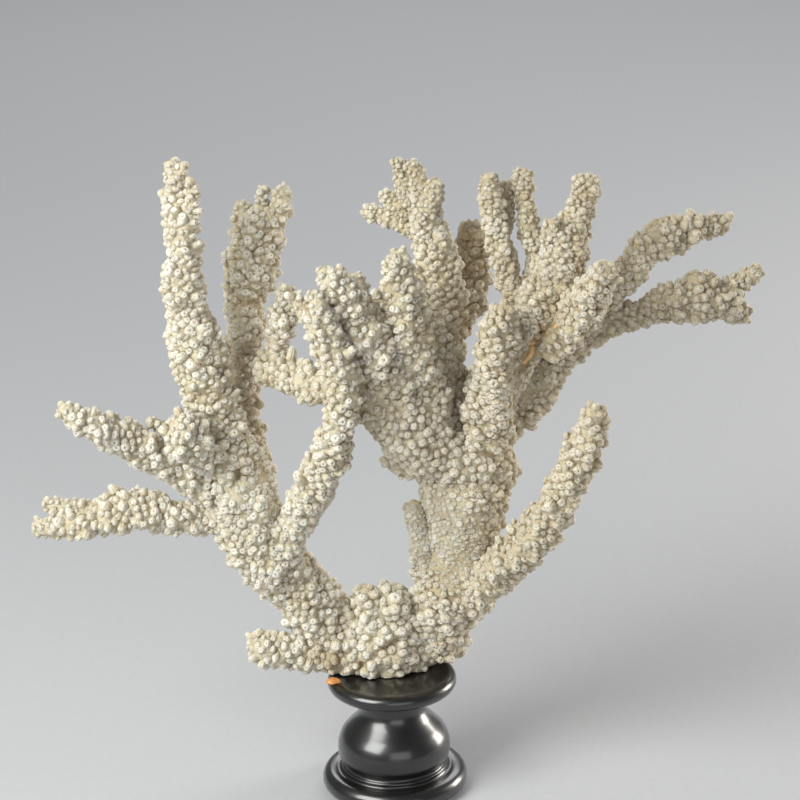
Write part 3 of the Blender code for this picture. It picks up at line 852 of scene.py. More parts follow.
@dataclass
class CoralLimb:
    """One limb: its swollen skin and the corallites that stand on it.

    Lengths are in millimetres and angles in degrees. A measure's cell is the size of
    the noise that it varies with, and its drift or spread is how much it varies.
    The skin is painted tan between the clumps, by the seam shade's share, as shade in the
    seams. Corallites are left out where it is sunk by the bare depth and near the sawn
    plane. A core is the share of a stain's, a painted shade's or a patch's reach where it
    is at its full strength. Round a tip the tilt falls by the cosine of the skin's lean, up
    to tip_lean in radians.
    """

    limb: Limb
    first_stem: int
    skeleton: Skeleton
    ring_step: float = 1.7
    inset: float = 3.4
    seam: float = 0.3
    fillet_share: float = 0.65
    fillet_most: float = 6.5
    slender_radius: float = 6.0
    lump_height: float = 1.2
    lump_cell: float = 13.0
    clump_height: float = 3.1
    clump_cell: float = 7.0
    seam_shade: float = 0.3
    seam_shade_level: float = 0.7
    seam_shade_drift: float = 0.5
    seam_shade_cell: float = 16.0
    stain_and_shade_level: float = 0.8
    stain_and_shade_drift: float = 0.4
    stain_and_shade_cell: float = 5.0
    hollow_core: float = 0.4
    stain_and_shade_core: float = 0.3
    patch_core: float = 0.55
    bare_depth: float = 0.4
    sawn_clear: float = 0.7
    sawn_stagger: float = 0.02
    mean_rise: float = 0.6
    pitch: float = 3.3
    pitch_drift: float = 0.08
    pitch_cell: float = 26.0
    scatter: float = 0.5
    corallite_radius: float = 1.42
    radius_spread: float = 0.17
    radius_drift: float = 0.12
    radius_cell: float = 20.0
    thin_radius: float = 4.0
    thin_share: float = 0.75
    ribbed_radius: float = 2.0
    least_height: float = 0.85
    extra_height: float = 0.6
    height_cell: float = 5.0
    height_range: tuple[float, float] = (0.75, 1.3)
    tilt: float = 34.0
    tilt_spread: float = 12.0
    tip_lean: float = 1.4
    sway: float = 0.2
    shoot_share: float = 0.05
    shoot_factor: float = 1.7
    openings: tuple[float, float] = (0.28, 0.42)

    def swelling(self, points: np.ndarray, own: int,
                 radius: np.ndarray) -> tuple[np.ndarray, np.ndarray, np.ndarray]:
        """How far the skin stands out of its plain tube.

        Lumps are lattice noise, and clumps are domes round scattered centres. Near
        another stem at distance d the skin also rises by (k - |d|)^2 / 4k, which
        rounds the fork between them; k is less on a slender stem.

        Args:
            points: Positions on the plain tube.
            own: The stem's number.
            radius: The tube's radius at each point.

        Returns:
            The rise in millimetres, how high each point is on its clump, 0 to 1, and
            how far it is outside the other stems. That is less by the seam where
            the other stem comes first, so that only one of two meeting stems
            carries the corallites along their seam.
        """
        gap, owner = self.skeleton.clearance(points, own)
        clump = clump_domes(points, self.clump_cell, Seed.CLUMPS)
        *_, clumping, _ = self.patch_factors(points)
        lumps = self.lump_height * lattice_noise(points, self.lump_cell, Seed.LUMPS)
        rise = lumps + self.clump_height * clumping * clump
        rise *= np.minimum(1.0, radius / self.slender_radius)
        reach = np.minimum(self.fillet_most, self.fillet_share * radius)
        rise += np.maximum(0.0, reach - np.abs(gap)) ** 2 / (4.0 * reach) - self.hollow(points)
        return rise, clump, gap - np.where(owner < own, self.seam, -self.seam)

    def hollow(self, points: np.ndarray) -> np.ndarray:
        """How far the skin is sunk at the listed stains and shades, the deepest of them counting.

        Args:
            points: Positions in millimetres, one row each.

        Returns:
            One depth in millimetres for each point.
        """
        sunk = np.zeros(len(points))
        for spot in STAINS_AND_SHADES:
            if spot.depth > 0.0:
                weight = ball_weight(points, spot.centre, spot.reach, self.hollow_core)
                sunk = np.maximum(sunk, spot.depth * weight)
        return sunk

    def crevice(self, points: np.ndarray, clump: np.ndarray) -> np.ndarray:
        """How tan the skin is: painted shade between the clumps, and the listed stains and shades.

        Between the clumps it is the seam shade's share times (1 - clump)^2, at a mark its
        strength, and each is broken up by its level plus its drift times noise.

        Args:
            points: Positions in millimetres, one row each.
            clump: How high each point is on its clump, 0 to 1.

        Returns:
            One value in 0..1 for each point.
        """
        # Painted shade: tan in the seams between the clumps
        noise = lattice_noise(points, self.seam_shade_cell, Seed.SEAM_SHADE)
        uneven = self.seam_shade_level + self.seam_shade_drift * noise
        between = self.seam_shade * (1.0 - clump) ** 2 * uneven
        stain_and_shade = np.zeros(len(points))
        for spot in STAINS_AND_SHADES:
            weight = ball_weight(points, spot.centre, spot.reach, self.stain_and_shade_core)
            stain_and_shade = np.maximum(stain_and_shade, spot.strength * weight)
        noise = lattice_noise(points, self.stain_and_shade_cell, Seed.BLOTCHES)
        stain_and_shade *= self.stain_and_shade_level + self.stain_and_shade_drift * noise
        return np.clip(np.maximum(between, stain_and_shade), 0.0, 1.0)

    def add_skin(self, parts: MeshParts, stem: Stem, own: int) -> None:
        """Add a stem's skin as a closed grid of rings, its rise added along the normals.

        Args:
            parts: Receives the surface.
            stem: The stem.
            own: The stem's number.
        """
        around = max(8, int(math.ceil(math.tau * float(stem.radius.max()) / self.ring_step)))
        rows = len(stem.meridian)
        angles = np.broadcast_to(np.arange(around) * math.tau / around, (rows, around))
        out, normal = stem.outward(angles)
        plain = (stem.centre[:, None] + out * stem.radius[:, None, None]).reshape(-1, 3)
        radius = np.repeat(stem.radius, around)
        rise, clump, _ = self.swelling(plain, own, radius)
        points = plain + normal.reshape(-1, 3) * rise[:, None]
        poles = np.stack((stem.centre[0], stem.pole()))
        points = np.concatenate((points, poles))
        # Each stem's cut face lies a hair above the last one's, so that no two coincide
        points[:, 2] = np.maximum(points[:, 2], SAWN_PLANE + self.sawn_stagger * own)
        clump = np.concatenate((clump, np.ones(2)))
        tints = np.zeros((len(points), 4))
        tints[:, 1] = self.crevice(np.concatenate((plain, poles)), clump)
        tints[:, 3] = 0.5
        quads, triangles = tube_faces(rows, around)
        parts.add(points, quads, triangles, tints)

    def patch_factors(self, points: np.ndarray) -> np.ndarray:
        """The factors of Growth at each point, blended in from the patches round it.

        Each patch multiplies them by 1 + weight (factor - 1).

        Args:
            points: Positions in millimetres, one row each.

        Returns:
            One row for each of Growth's numbers.
        """
        factors = np.ones((len(Growth.FINE.value), len(points)))
        for patch in PATCHES:
            weight = ball_weight(points, patch.centre, patch.reach, self.patch_core)
            factors *= 1.0 + weight * (np.array(patch.growth.value)[:, None] - 1.0)
        return factors

    def scattered(self, stem: Stem, rng: np.random.Generator) -> tuple[Stem, np.ndarray]:
        """Even places for corallites over a stem, each then moved a little.

        Corallite number k sits where the skin's area from the stem's start is k
        cells, turned by k golden angles, so that they are evenly spread however the
        stem tapers. A cell's area is that of a hexagon of the local pitch.

        Args:
            stem: The stem.
            rng: Source of the scatter.

        Returns:
            The stem at each corallite's place, and its angle round the stem.
        """
        drift = lattice_noise(stem.centre, self.pitch_cell, Seed.PITCH)
        size, *_ = self.patch_factors(stem.centre)
        pitch = self.pitch * (1.0 + self.pitch_drift * drift) * size
        cell = pitch ** 2 * math.sqrt(3.0) / 2.0
        per_length = math.tau * (stem.radius + self.mean_rise) / cell
        steps = (per_length[1:] + per_length[:-1]) / 2.0 * np.diff(stem.meridian)
        cells = np.concatenate(([0.0], np.cumsum(steps)))
        count = int(cells[-1])
        places = np.interp(np.arange(count) + 0.5, cells, stem.meridian)
        places += rng.normal(0.0, self.scatter, count)
        ring = stem.at(np.clip(places, 0.0, stem.meridian[-1]))
        angles = np.arange(count) * GOLDEN_ANGLE
        angles += rng.normal(0.0, self.scatter, count) / np.maximum(ring.radius, 1.0)
        return ring, angles

    def add_corallites(self, parts: MeshParts, stem: Stem, own: int) -> None:
        """Scatter corallites over a stem and add them.

        Their axes are normal cos(tilt) + tangent sin(tilt), with a little sway.

        Args:
            parts: Receives the corallites.
            stem: The stem.
            own: The stem's number.
        """
        rng = np.random.default_rng(Seed.SCATTER + own)
        ring, angles = self.scattered(stem, rng)
        count = len(angles)
        out, normal = (vectors[:, 0] for vectors in ring.outward(angles[:, None]))
        plain = ring.centre + out * ring.radius[:, None]
        rise, clump, outside = self.swelling(plain, own, ring.radius)
        foot = plain + normal * rise[:, None]
        size, tall, dense, tipped, _, open_wide = self.patch_factors(foot)
        keep = (outside > 0.0) & (foot[:, 2] > SAWN_PLANE + self.sawn_clear)
        keep &= (rng.random(count) < dense) & (self.hollow(plain) < self.bare_depth)
        spread = np.exp(rng.normal(0.0, self.radius_spread, count))
        uneven = 1.0 + self.radius_drift * lattice_noise(foot, self.radius_cell, Seed.SIZE)
        radius = self.corallite_radius * size * spread * uneven
        radius *= np.clip(ring.radius / self.thin_radius, self.thin_share, 1.0)
        taller = 0.5 + 0.5 * lattice_noise(foot, self.height_cell, Seed.HEIGHT)
        height = radius * tall * (self.least_height + self.extra_height * taller)
        height *= rng.uniform(*self.height_range, count)
        height[rng.random(count) < self.shoot_share] *= self.shoot_factor
        tilt = np.radians(rng.normal(self.tilt, self.tilt_spread, count))
        tilt = tilt * np.cos(np.clip(ring.lean, 0.0, self.tip_lean)) * tipped
        sway = rng.normal(0.0, self.sway, (count, 3))
        axis = unit(normal * np.cos(tilt)[:, None] + ring.tangent * np.sin(tilt)[:, None] + sway)
        opening = rng.uniform(*self.openings, count) * open_wide
        tint = np.zeros((count, 4))
        tint[:, 1] = self.crevice(foot, clump)
        tint[:, 3] = rng.uniform(0.0, 1.0, count)
        cups = Cups(foot, normal, axis, radius, height, opening, tint)
        ribbed = radius >= self.ribbed_radius
        for shape, chosen in ((RIBBED_CUP, keep & ribbed), (SMALL_CUP, keep & ~ribbed)):
            if chosen.any():
                shape.add(parts, cups.chosen(chosen), rng)

    def build(self) -> bpy.types.Mesh:
        """Build the limb from its stems' skins and corallites.

        Returns:
            The limb's mesh.
        """
        parts = MeshParts()
        for number, route in enumerate(self.limb.routes):
            own = self.first_stem + number
            stem = Stem.along(route, self.ring_step, self.inset)
            self.add_skin(parts, stem, own)
            self.add_corallites(parts, stem, own)
        return parts.mesh(self.limb.name)

    def dress(self, finish: bpy.types.Material) -> None:
        """Put the limb in the scene in place of its solid."""
        place_piece(f"{self.limb.name}_skeleton", self.build(), finish,
                    self.limb.name)


def add_object(name: str, data: bpy.types.ID) -> bpy.types.Object:
    """Add an object at the origin.

    Args:
        name: The object's name.
        data: Its mesh, light or camera.

    Returns:
        The object, linked into the scene.
    """
    added = bpy.data.objects.new(name, data)
    bpy.context.scene.collection.objects.link(added)
    return added


def place_piece(name: str, data: bpy.types.Mesh, finish: bpy.types.Material,
                node: str) -> None:
    """Add a piece that stands for a CAD node.

    Args:
        name: The piece's name.
        data: Its mesh, already in place.
        finish: Its material.
        node: The CAD node that it replaces.
    """
    piece = add_object(name, data)
    data.materials.append(finish)
    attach(piece, BODY)
    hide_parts(node)
    faces = sum(polygon.loop_total - 2 for polygon in data.polygons)
    LOG.info("%s: %d triangles, in place of %s", name, faces, node)


# Materials


def linear(code: str) -> tuple[float, float, float, float]:
    """An sRGB hex colour as linear numbers: ((c + 0.055) / 1.055)^2.4 above the straight toe."""
    shares = [int(code[i:i + 2], 16) / 255.0 for i in (1, 3, 5)]
    return tuple(c / 12.92 if c <= 0.04045 else ((c + 0.055) / 1.055) ** 2.4
                 for c in shares) + (1.0,)


def add_node(tree: bpy.types.NodeTree, kind: str, settings: dict | None = None,
             links: dict | None = None) -> bpy.types.Node:
    """Add one shader node.

    Args:
        tree: The material's node tree.
        kind: The node's class name.
        settings: Values by name. A property of the node is set by its name, and
            an input socket by its name or number.
        links: Output sockets by the name or number of the input that they feed.

    Returns:
        The node.
    """
    node = tree.nodes.new(kind)
    for name, value in (settings or {}).items():
        if isinstance(name, str) and hasattr(node, name):
            setattr(node, name, value)
        else:
            node.inputs[name].default_value = value
    for name, source in (links or {}).items():
        tree.links.new(source, node.inputs[name])
    return node


def new_material(name: str) -> tuple[bpy.types.Material, bpy.types.NodeTree, bpy.types.NodeSocket]:
    """Start a node material.

    Args:
        name: The material's name.

    Returns:
        The material, its tree and the socket that gives object coordinates.
    """
    material = bpy.data.materials.new(name)
    material.use_nodes = True
    tree = material.node_tree
    tree.nodes.clear()
    return material, tree, add_node(tree, "ShaderNodeTexCoord").outputs["Object"]


@dataclass(frozen=True)
class BleachedAragonite:
    """Sun-bleached coral skeleton: chalky aragonite, matt and warm white.

    It is tan in its seams and hollows, partly stained and partly painted shade. The spines
    between real corallites are about 0.2 mm across, too fine to show, so grain and nubs are
    drawn coarser.
    """

    lip: str = "#FCF7EA"
    # The colour of the corallites' feet and the skin between them, partly painted shade in the
    # seams
    skin: str = "#DED3B8"
    # Tan of real stains, and of painted shade in seams, clefts and hollows
    crevice: str = "#A0855C"
    vein: str = "#EFC88E"
    # Painted shade at the bottom of each calice
    calice: str = "#8F8268"
    ochre: str = "#E4DAC2"
    # Painted shade: this grey is laid over the right side, which the light reaches less
    right_shade: str = "#EEEAE3"
    roughness: float = 0.86
    ior: float = 1.53
    grain_mm: float = 0.75
    nub_mm: float = 1.2
    grain_depth_mm: float = 0.4
    cloud_mm: float = 18.0
    right_shade_from_mm: float = -10.0
    aged_to_mm: float = 45.0
    ribs: int = 11
    rib_depth_mm: float = 0.07
    glow_mm: float = 1.0

    def rib_wave(self, tree: bpy.types.NodeTree) -> bpy.types.NodeSocket:
        """Ribs that run out from each calice.

        The wave is cos(ribs * angle), times a share that rises from 0 near the middle
        to 1 at 0.6 of the outer radius.

        Args:
            tree: The material's node tree.

        Returns:
            The socket that gives the wave.
        """
        rosette = add_node(tree, "ShaderNodeAttribute", {"attribute_name": "rosette"})
        place = rosette.outputs["Vector"]
        axes = add_node(tree, "ShaderNodeSeparateXYZ", links={0: place})
        angle = add_node(tree, "ShaderNodeMath", {"operation": "ARCTAN2"},
                         {0: axes.outputs["Y"], 1: axes.outputs["X"]})
        turned = add_node(tree, "ShaderNodeMath", {"operation": "MULTIPLY", 1: float(self.ribs)},
                          {0: angle.outputs["Value"]})
        wave = add_node(tree, "ShaderNodeMath", {"operation": "COSINE"},
                        {0: turned.outputs["Value"]})
        flat = add_node(tree, "ShaderNodeVectorMath", {"operation": "MULTIPLY", 1: (1.0, 1.0, 0.0)},
                        {0: place})
        away = add_node(tree, "ShaderNodeVectorMath", {"operation": "LENGTH"},
                        {0: flat.outputs["Vector"]})
        shown = add_node(tree, "ShaderNodeMapRange", {"From Min": 0.2, "From Max": 0.6},
                         {"Value": away.outputs["Value"]})
        return add_node(tree, "ShaderNodeMath", {"operation": "MULTIPLY"},
                        {0: wave.outputs["Value"], 1: shown.outputs["Result"]}).outputs["Value"]

    def material(self) -> bpy.types.Material:
        """Build the finish on the growth and rosette attributes and object coordinates.

        The skin's colour has each tint laid over it by a share, and the result is
        lightened or darkened a little by each corallite's own tone, the grain,
        painted shade in the seams between the nubs, and the ribs. Grain less nubs, and then the
        ribs, give the relief.

        Returns:
            The material.
        """
        material, tree, where = new_material("bleached_aragonite")
        growth = add_node(tree, "ShaderNodeAttribute", {"attribute_name": "growth"})
        parts = add_node(tree, "ShaderNodeSeparateColor", links={"Color": growth.outputs["Color"]})
        lightness, stain_and_shade, calice = (parts.outputs[name] for name in ("Red", "Green", "Blue"))
        grain, cloud = (
            add_node(tree, "ShaderNodeTexNoise",
                     {"Scale": 1000.0 / size, "Detail": detail, "Roughness": 0.6},
                     {"Vector": where}).outputs["Fac"]
            for size, detail in ((self.grain_mm, 3.0), (self.cloud_mm, 4.0)))
        nubs = add_node(tree, "ShaderNodeTexVoronoi", {"Scale": 1000.0 / self.nub_mm},
                        {"Vector": where}).outputs["Distance"]
        cloudy = add_node(tree, "ShaderNodeMapRange",
                          {"From Min": 0.48, "From Max": 0.72, "To Max": 0.55}, {"Value": cloud})
        axes = add_node(tree, "ShaderNodeSeparateXYZ", links={0: where})
        # Painted shade: the colour greys from left to right across the coral
        rightward = add_node(tree, "ShaderNodeMapRange",
                             {"From Min": self.right_shade_from_mm * MM, "From Max": self.aged_to_mm * MM,
                              "To Max": 0.85}, {"Value": axes.outputs["X"]})
        bright = add_node(tree, "ShaderNodeMapRange", {"From Min": 0.88, "From Max": 1.0},
                          {"Value": stain_and_shade})
        ribs = self.rib_wave(tree)

        # Corallites' lips are pale over darker feet and skin, partly their own tone and partly
        # painted shade in the seams; clouds ochre; the right side greyer, as painted shade; hollows
        # tan, partly stain and partly painted shade; calice bottoms dark, as painted shade
        colour = add_node(tree, "ShaderNodeMixRGB",
                          {"Color1": linear(self.skin), "Color2": linear(self.lip)},
                          {"Fac": lightness}).outputs["Color"]
        for share, blend, tint in ((cloudy.outputs["Result"], "MULTIPLY", self.ochre),
                                   (rightward.outputs["Result"], "MULTIPLY", self.right_shade),
                                   (stain_and_shade, "MIX", self.crevice),
                                   (bright.outputs["Result"], "MIX", self.vein),
                                   (calice, "MIX", self.calice)):
            colour = add_node(tree, "ShaderNodeMixRGB",
                              {"blend_type": blend, "Color2": linear(tint)},
                              {"Fac": share, "Color1": colour}).outputs["Color"]

        # Tones from corallite to corallite, specks, painted shade in the seams between nubs, frosty
        # ribs
        for source, low, high, at_low, at_high in ((growth.outputs["Alpha"], 0.0, 1.0, 0.93, 1.03),
                                                   (grain, 0.3, 0.7, 0.92, 1.04),
                                                   (nubs, 0.25, 0.75, 1.03, 0.85),
                                                   (ribs, -1.0, 1.0, 0.95, 1.03)):
            factor = add_node(tree, "ShaderNodeMapRange",
                              {"From Min": low, "From Max": high, "To Min": at_low,
                               "To Max": at_high}, {"Value": source})
            colour = add_node(tree, "ShaderNodeVectorMath", {"operation": "SCALE"},
                              {0: colour, "Scale": factor.outputs["Result"]}).outputs["Vector"]
        relief = add_node(tree, "ShaderNodeMath", {"operation": "SUBTRACT"}, {0: grain, 1: nubs})
        bump = add_node(tree, "ShaderNodeBump",
                        {"Strength": 1.0, "Distance": self.grain_depth_mm * MM},
                        {"Height": relief.outputs["Value"]})
        ribbed = add_node(tree, "ShaderNodeBump",
                          {"Strength": 1.0, "Distance": self.rib_depth_mm * MM},
                          {"Height": ribs, "Normal": bump.outputs["Normal"]})
        shader = add_node(tree, "ShaderNodeBsdfPrincipled",
                          {"Roughness": self.roughness, "IOR": self.ior, "Subsurface Weight": 0.5,
                           "Subsurface Radius": (1.0, 0.85, 0.65),
                           "Subsurface Scale": self.glow_mm * MM},
                          {"Base Color": colour, "Normal": ribbed.outputs["Normal"]})
        add_node(tree, "ShaderNodeOutputMaterial", links={"Surface": shader.outputs["BSDF"]})
        return material


@dataclass(frozen=True)
class BlackSatinLacquer:
    """Turned hardwood in black lacquer rubbed to a satin sheen.

    Its highlights are broad and soft, with a little dust. The dust's specks are
    drawn at about a millimetre, because the real ones are too fine to show.
    """

    black: str = "#0B0A0A"
    dust: str = "#3A3734"
    roughness: float = 0.36
    dusty_roughness: float = 0.56
    ior: float = 1.5
    coat_roughness: float = 0.19
    wave_mm: float = 9.0
    wave_depth_mm: float = 0.1
    dust_mm: float = 1.1

    def material(self) -> bpy.types.Material:
        """Build the finish on object coordinates.

        Returns:
            The material.
        """
        material, tree, where = new_material("black_satin_lacquer")
        wave, dust = (
            add_node(tree, "ShaderNodeTexNoise", {"Scale": 1000.0 / size, "Detail": detail},
                     {"Vector": where}).outputs["Fac"]
            for size, detail in ((self.wave_mm, 1.0), (self.dust_mm, 3.0)))
        settled = add_node(tree, "ShaderNodeMapRange",
                           {"From Min": 0.62, "From Max": 0.8, "To Max": 0.25}, {"Value": dust})
        colour = add_node(tree, "ShaderNodeMixRGB",
                          {"Color1": linear(self.black), "Color2": linear(self.dust)},
                          {"Fac": settled.outputs["Result"]})
        rough = add_node(tree, "ShaderNodeMapRange",
                         {"To Min": self.roughness, "To Max": self.dusty_roughness},
                         {"Value": settled.outputs["Result"]})
        bump = add_node(tree, "ShaderNodeBump",
                        {"Strength": 0.25, "Distance": self.wave_depth_mm * MM}, {"Height": wave})
        shader = add_node(tree, "ShaderNodeBsdfPrincipled",
                          {"IOR": self.ior, "Coat Weight": 1.0, "Coat IOR": self.ior,
                           "Coat Roughness": self.coat_roughness},
                          {"Base Color": colour.outputs["Color"],
                           "Roughness": rough.outputs["Result"],
                           "Normal": bump.outputs["Normal"], "Coat Normal": bump.outputs["Normal"]})
        add_node(tree, "ShaderNodeOutputMaterial", links={"Surface": shader.outputs["BSDF"]})
        return material


@dataclass(frozen=True)
class AmberAdhesive:
    """Hardened amber-coloured glue: a glossy resin that light sinks into.

    Its tiny bubbles are too fine to show, so a cloudy mottle of about a millimetre
    stands for them.
    """

    amber: str = "#C77A35"
    pale: str = "#E3A868"
    roughness: float = 0.28
    ior: float = 1.52
    cloud_mm: float = 1.4
    cloud_depth_mm: float = 0.2
    glow_mm: float = 1.0

    def material(self) -> bpy.types.Material:
        """Build the finish on object coordinates.

        Returns:
            The material.
        """
        material, tree, where = new_material("amber_resin_adhesive")
        cloud = add_node(tree, "ShaderNodeTexNoise",
                         {"Scale": 1000.0 / self.cloud_mm, "Detail": 2.0},
                         {"Vector": where}).outputs["Fac"]
        colour = add_node(tree, "ShaderNodeMixRGB",
                          {"Color1": linear(self.amber), "Color2": linear(self.pale)},
                          {"Fac": cloud})
        bump = add_node(tree, "ShaderNodeBump",
                        {"Strength": 0.4, "Distance": self.cloud_depth_mm * MM}, {"Height": cloud})
        shader = add_node(tree, "ShaderNodeBsdfPrincipled",
                          {"Roughness": self.roughness, "IOR": self.ior, "Subsurface Weight": 0.3,
                           "Subsurface Radius": (1.0, 0.5, 0.2),
                           "Subsurface Scale": self.glow_mm * MM},
                          {"Base Color": colour.outputs["Color"], "Normal": bump.outputs["Normal"]})
        add_node(tree, "ShaderNodeOutputMaterial", links={"Surface": shader.outputs["BSDF"]})
        return material


@dataclass(frozen=True)
class StudioCard:
    """Matt pale card under the object.

    Its fibres are too fine to show, so they are drawn as a faint mottle, 3 mm across.
    """

    card: str = "#BCBDBF"
    shade: str = "#B5B6B9"
    roughness: float = 0.9
    fibre_mm: float = 3.0

    def material(self) -> bpy.types.Material:
        """Build the finish on object coordinates.

        Returns:
            The material.
        """
        material, tree, where = new_material("matt_studio_card")
        mottle = add_node(tree, "ShaderNodeTexNoise",
                          {"Scale": 1000.0 / self.fibre_mm, "Detail": 2.0}, {"Vector": where})
        colour = add_node(tree, "ShaderNodeMixRGB",
                          {"Color1": linear(self.card), "Color2": linear(self.shade)},
                          {"Fac": mottle.outputs["Fac"]})
        shader = add_node(tree, "ShaderNodeBsdfPrincipled", {"Roughness": self.roughness},
                          {"Base Color": colour.outputs["Color"]})
        add_node(tree, "ShaderNodeOutputMaterial", links={"Surface": shader.outputs["BSDF"]})
        return material


# The stand and the dab of adhesive


@dataclass(frozen=True)
class Arc:
    """A rounding of a turned profile: mid + radius (cos a, sin a), from start to end.

    The mid is (distance from the upright axis, height), and the angles are in degrees.
    """

    mid: tuple[float, float]
    radius: float
    start: float
    end: float
    count: int

    def points(self) -> np.ndarray:
        """Rows of (distance from the axis, height)."""
        angles = np.radians(np.linspace(self.start, self.end, self.count))
        return np.array(self.mid) + self.radius * np.stack((np.cos(angles), np.sin(angles)), axis=1)


@dataclass
class TurnedStand:
    """The small stand, turned in one: a ringed foot, a bulging bell, a neck and a dished disc.

    The bell is points of (distance from the upright axis, height), from the neck
    down to its bottom edge. The steps are distances of the flat faces' points.
    """

    rim: Arc = Arc((24.0, 49.0), 3.3, 98, -90, 24)
    throat: Arc = Arc((20.0, 39.4), 6.4, 108, 188, 14)
    fillet: Arc = Arc((21.7, 10.2), 0.9, 80, -60, 8)
    foot: Arc = Arc((26.2, 4.6), 4.6, 118, -90, 26)
    dish_height: float = 51.9
    dish_steps: tuple[float, ...] = (6.0, 14.0, 20.0, 22.3)
    under_steps: tuple[float, ...] = (18.0, 9.0)
    bell: tuple[tuple[float, float], ...] = (
        (13.6, 37.4), (14.5, 34.6), (16.8, 31.6), (19.6, 28.8), (21.7, 26.4), (23.0, 23.8),
        (23.7, 21.2), (23.9, 18.9), (23.9, 17.2), (23.6, 15.6), (23.0, 14.0), (21.2, 11.6))
    around: int = 160

    def profile(self) -> np.ndarray:
        """The outline from the top's middle down the outside to the underside's middle.

        Returns:
            Rows of (distance from the axis, height).
        """
        top = np.array([(away, self.dish_height) for away in self.dish_steps])
        below = np.array([(away, 0.0) for away in self.under_steps])
        return np.concatenate((top, self.rim.points(), self.throat.points(), np.array(self.bell),
                               self.fillet.points(), self.foot.points(), below))

    def build(self) -> bpy.types.Mesh:
        """Turn the profile about the upright axis: x = r cos(a), y = r sin(a), z = height.

        Returns:
            The stand's mesh.
        """
        outline = self.profile()[::-1]
        angles = np.arange(self.around) * math.tau / self.around
        flat = np.stack((np.cos(angles), np.sin(angles)), axis=1)
        heights = np.broadcast_to(outline[:, None, 1:], (len(outline), self.around, 1))
        rings = np.concatenate((outline[:, None, :1] * flat[None], heights), axis=2)
        poles = ((0.0, 0.0, 0.0), (0.0, 0.0, self.dish_height))
        points = np.concatenate((rings.reshape(-1, 3), poles))
        quads, triangles = tube_faces(len(outline), self.around)
        parts = MeshParts()
        parts.add(points, quads, triangles, np.zeros((len(points), 4)))
        return parts.mesh("stand")

    def dress(self, finish: bpy.types.Material) -> None:
        """Put the stand in the scene in place of its solid."""
        place_piece("turned_stand", self.build(), finish, "stand")


@dataclass
class AdhesiveDab:
    """The small bead of glue squeezed out between coral and stand."""

    centre: tuple[float, float] = (-24.6, -8.4)
    reach: tuple[float, float] = (3.2, 2.4)
    height: float = 1.8
    floor: float = SAWN_PLANE
    rows: int = 14
    around: int = 28

    def build(self) -> bpy.types.Mesh:
        """A low dome with a lumpy edge.

        At latitude a it is reach cos(a)^0.8 wide and height sin(a) up, and its width
        swells and shrinks round it by two cosines, of 3 and of 5 waves.

        Returns:
            The dab's mesh.
        """
        latitude = np.linspace(0.0, math.pi / 2, self.rows, endpoint=False)[:, None]
        angle = (np.arange(self.around) * math.tau / self.around)[None]
        lumpy = 1.0 + 0.07 * np.cos(3 * angle + 0.6) + 0.05 * np.cos(5 * angle + 2.0)
        wide = np.cos(latitude) ** 0.8 * lumpy
        x = self.centre[0] + self.reach[0] * wide * np.cos(angle)
        y = self.centre[1] + self.reach[1] * wide * np.sin(angle)
        z = self.floor + self.height * np.sin(latitude) * np.ones_like(angle)
        points = np.stack((x, y, z), axis=-1).reshape(-1, 3)
        poles = ((*self.centre, self.floor), (*self.centre, self.floor + self.height))
        quads, triangles = tube_faces(self.rows, self.around)
        parts = MeshParts()
        points = np.concatenate((points, poles))
        parts.add(points, quads, triangles, np.zeros((len(points), 4)))
        return parts.mesh("adhesive_dab")

    def dress(self, finish: bpy.types.Material) -> None:
        """Put the dab in the scene in place of its solid."""
        place_piece("adhesive_bead", self.build(), finish, "adhesive_dab")


# The studio


@dataclass(frozen=True)
class SoftBox:
    """A soft studio light: its place, its width and height in metres, its power and its colour."""

    name: str
    place: tuple[float, float, float]
    size: tuple[float, float]
    watts: float
    colour: str = "#FFFFFF"


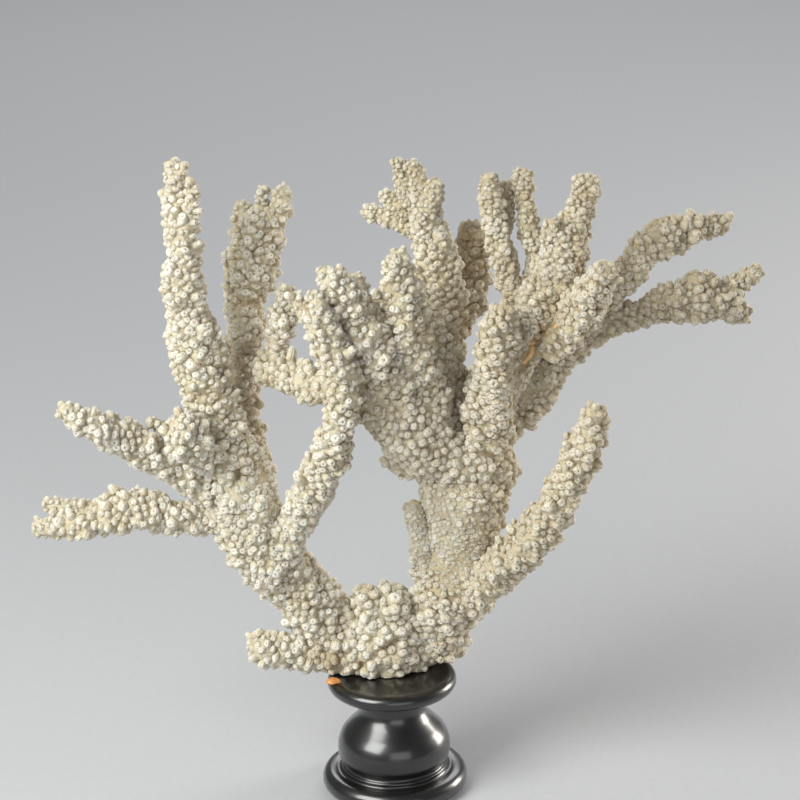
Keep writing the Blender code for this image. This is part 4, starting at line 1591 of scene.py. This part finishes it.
@dataclass
class Studio:
    """The pale floor, the soft lights and the camera."""

    target: tuple[float, float, float] = (6.9, 0.0, 174.0)
    distance: float = 1100.0
    pitch: float = 19.5
    roll: float = 1.7
    focal_pixels: float = 2700.0
    frame_pixels: float = 800.0
    sensor: float = 36.0
    clip: tuple[float, float] = (0.01, 50.0)
    floor_reach: float = 4.0
    lit_point: tuple[float, float, float] = (0.0, 0.0, 0.15)
    room: str = "#E4E6EA"
    room_strength: float = 0.22
    lights: tuple[SoftBox, ...] = (
        SoftBox("left_soft_box", (-0.7, -0.6, 0.78), (0.7, 0.7), 16.0, "#FDFFFB"),
        SoftBox("right_soft_box", (1.2, 0.5, 0.32), (0.45, 0.6), 13.0, "#FFF9F0"),
        SoftBox("back_soft_box", (0.3, 2.0, 1.8), (2.4, 1.2), 30.0),
        SoftBox("front_fill", (0.4, -1.8, 0.6), (1.4, 0.9), 6.0),
    )

    def add_floor(self) -> None:
        """Lay the card floor that the stand stands on."""
        reach = self.floor_reach
        corners = [(-reach, -reach, 0), (reach, -reach, 0), (reach, reach, 0), (-reach, reach, 0)]
        data = bpy.data.meshes.new("floor")
        data.from_pydata(corners, [], [(0, 1, 2, 3)])
        data.materials.append(StudioCard().material())
        floor = add_object("studio_floor", data)

    def add_lights(self) -> None:
        """Hang the soft boxes, each turned to the coral's middle, in a pale room."""
        middle = Vector(self.lit_point)
        for box in self.lights:
            data = bpy.data.lights.new(box.name, "AREA")
            data.shape = "RECTANGLE"
            data.size, data.size_y = box.size
            data.energy = box.watts
            data.color = linear(box.colour)[:3]
            light = add_object(box.name, data)
            light.location = box.place
            light.rotation_euler = (middle - light.location).to_track_quat("-Z", "Y").to_euler()
        world = bpy.data.worlds.new("pale_room")
        world.use_nodes = True
        background = world.node_tree.nodes["Background"]
        background.inputs["Color"].default_value = linear(self.room)
        background.inputs["Strength"].default_value = self.room_strength
        bpy.context.scene.world = world

    def add_camera(self) -> None:
        """Set the camera at the photograph's viewing angle.

        It looks along +Y, pitched down and slightly rolled, at a distance from the
        target, and its lens gives the wanted focal length in pixels of the frame.
        """
        pitch, roll = math.radians(self.pitch), math.radians(self.roll)
        forward = Vector((0.0, math.cos(pitch), -math.sin(pitch)))
        level_up = Vector((0.0, math.sin(pitch), math.cos(pitch)))
        level_right = Vector((1.0, 0.0, 0.0))
        right = level_right * math.cos(roll) - level_up * math.sin(roll)
        up = level_right * math.sin(roll) + level_up * math.cos(roll)
        data = bpy.data.cameras.new("photo_camera")
        data.sensor_width = self.sensor
        data.lens = self.sensor * self.focal_pixels / self.frame_pixels
        data.clip_start, data.clip_end = self.clip
        camera = add_object("photo_camera", data)
        place = Vector(self.target) * MM - forward * self.distance * MM
        turn = Matrix((right, up, -forward)).transposed()
        camera.matrix_world = Matrix.Translation(place) @ turn.to_4x4()
        bpy.context.scene.camera = camera

    def build(self) -> None:
        """Set up the floor, the lights and the camera."""
        self.add_floor()
        self.add_lights()
        self.add_camera()
        bpy.context.scene.view_settings.view_transform = "Standard"
        LOG.info("studio: %d lights", len(self.lights))


def main() -> None:
    """Dress the coral, the stand and the adhesive, and set up the studio."""
    logging.basicConfig(level=logging.INFO, format="%(message)s", stream=sys.stdout)
    skeleton = Skeleton(LIMBS, CoralLimb.inset)
    coral = BleachedAragonite().material()
    first_stem = 0
    for one in LIMBS:
        CoralLimb(one, first_stem, skeleton).dress(coral)
        first_stem += len(one.routes)
    TurnedStand().dress(BlackSatinLacquer().material())
    AdhesiveDab().dress(AmberAdhesive().material())
    Studio().build()


if __name__ == "__main__":
    main()
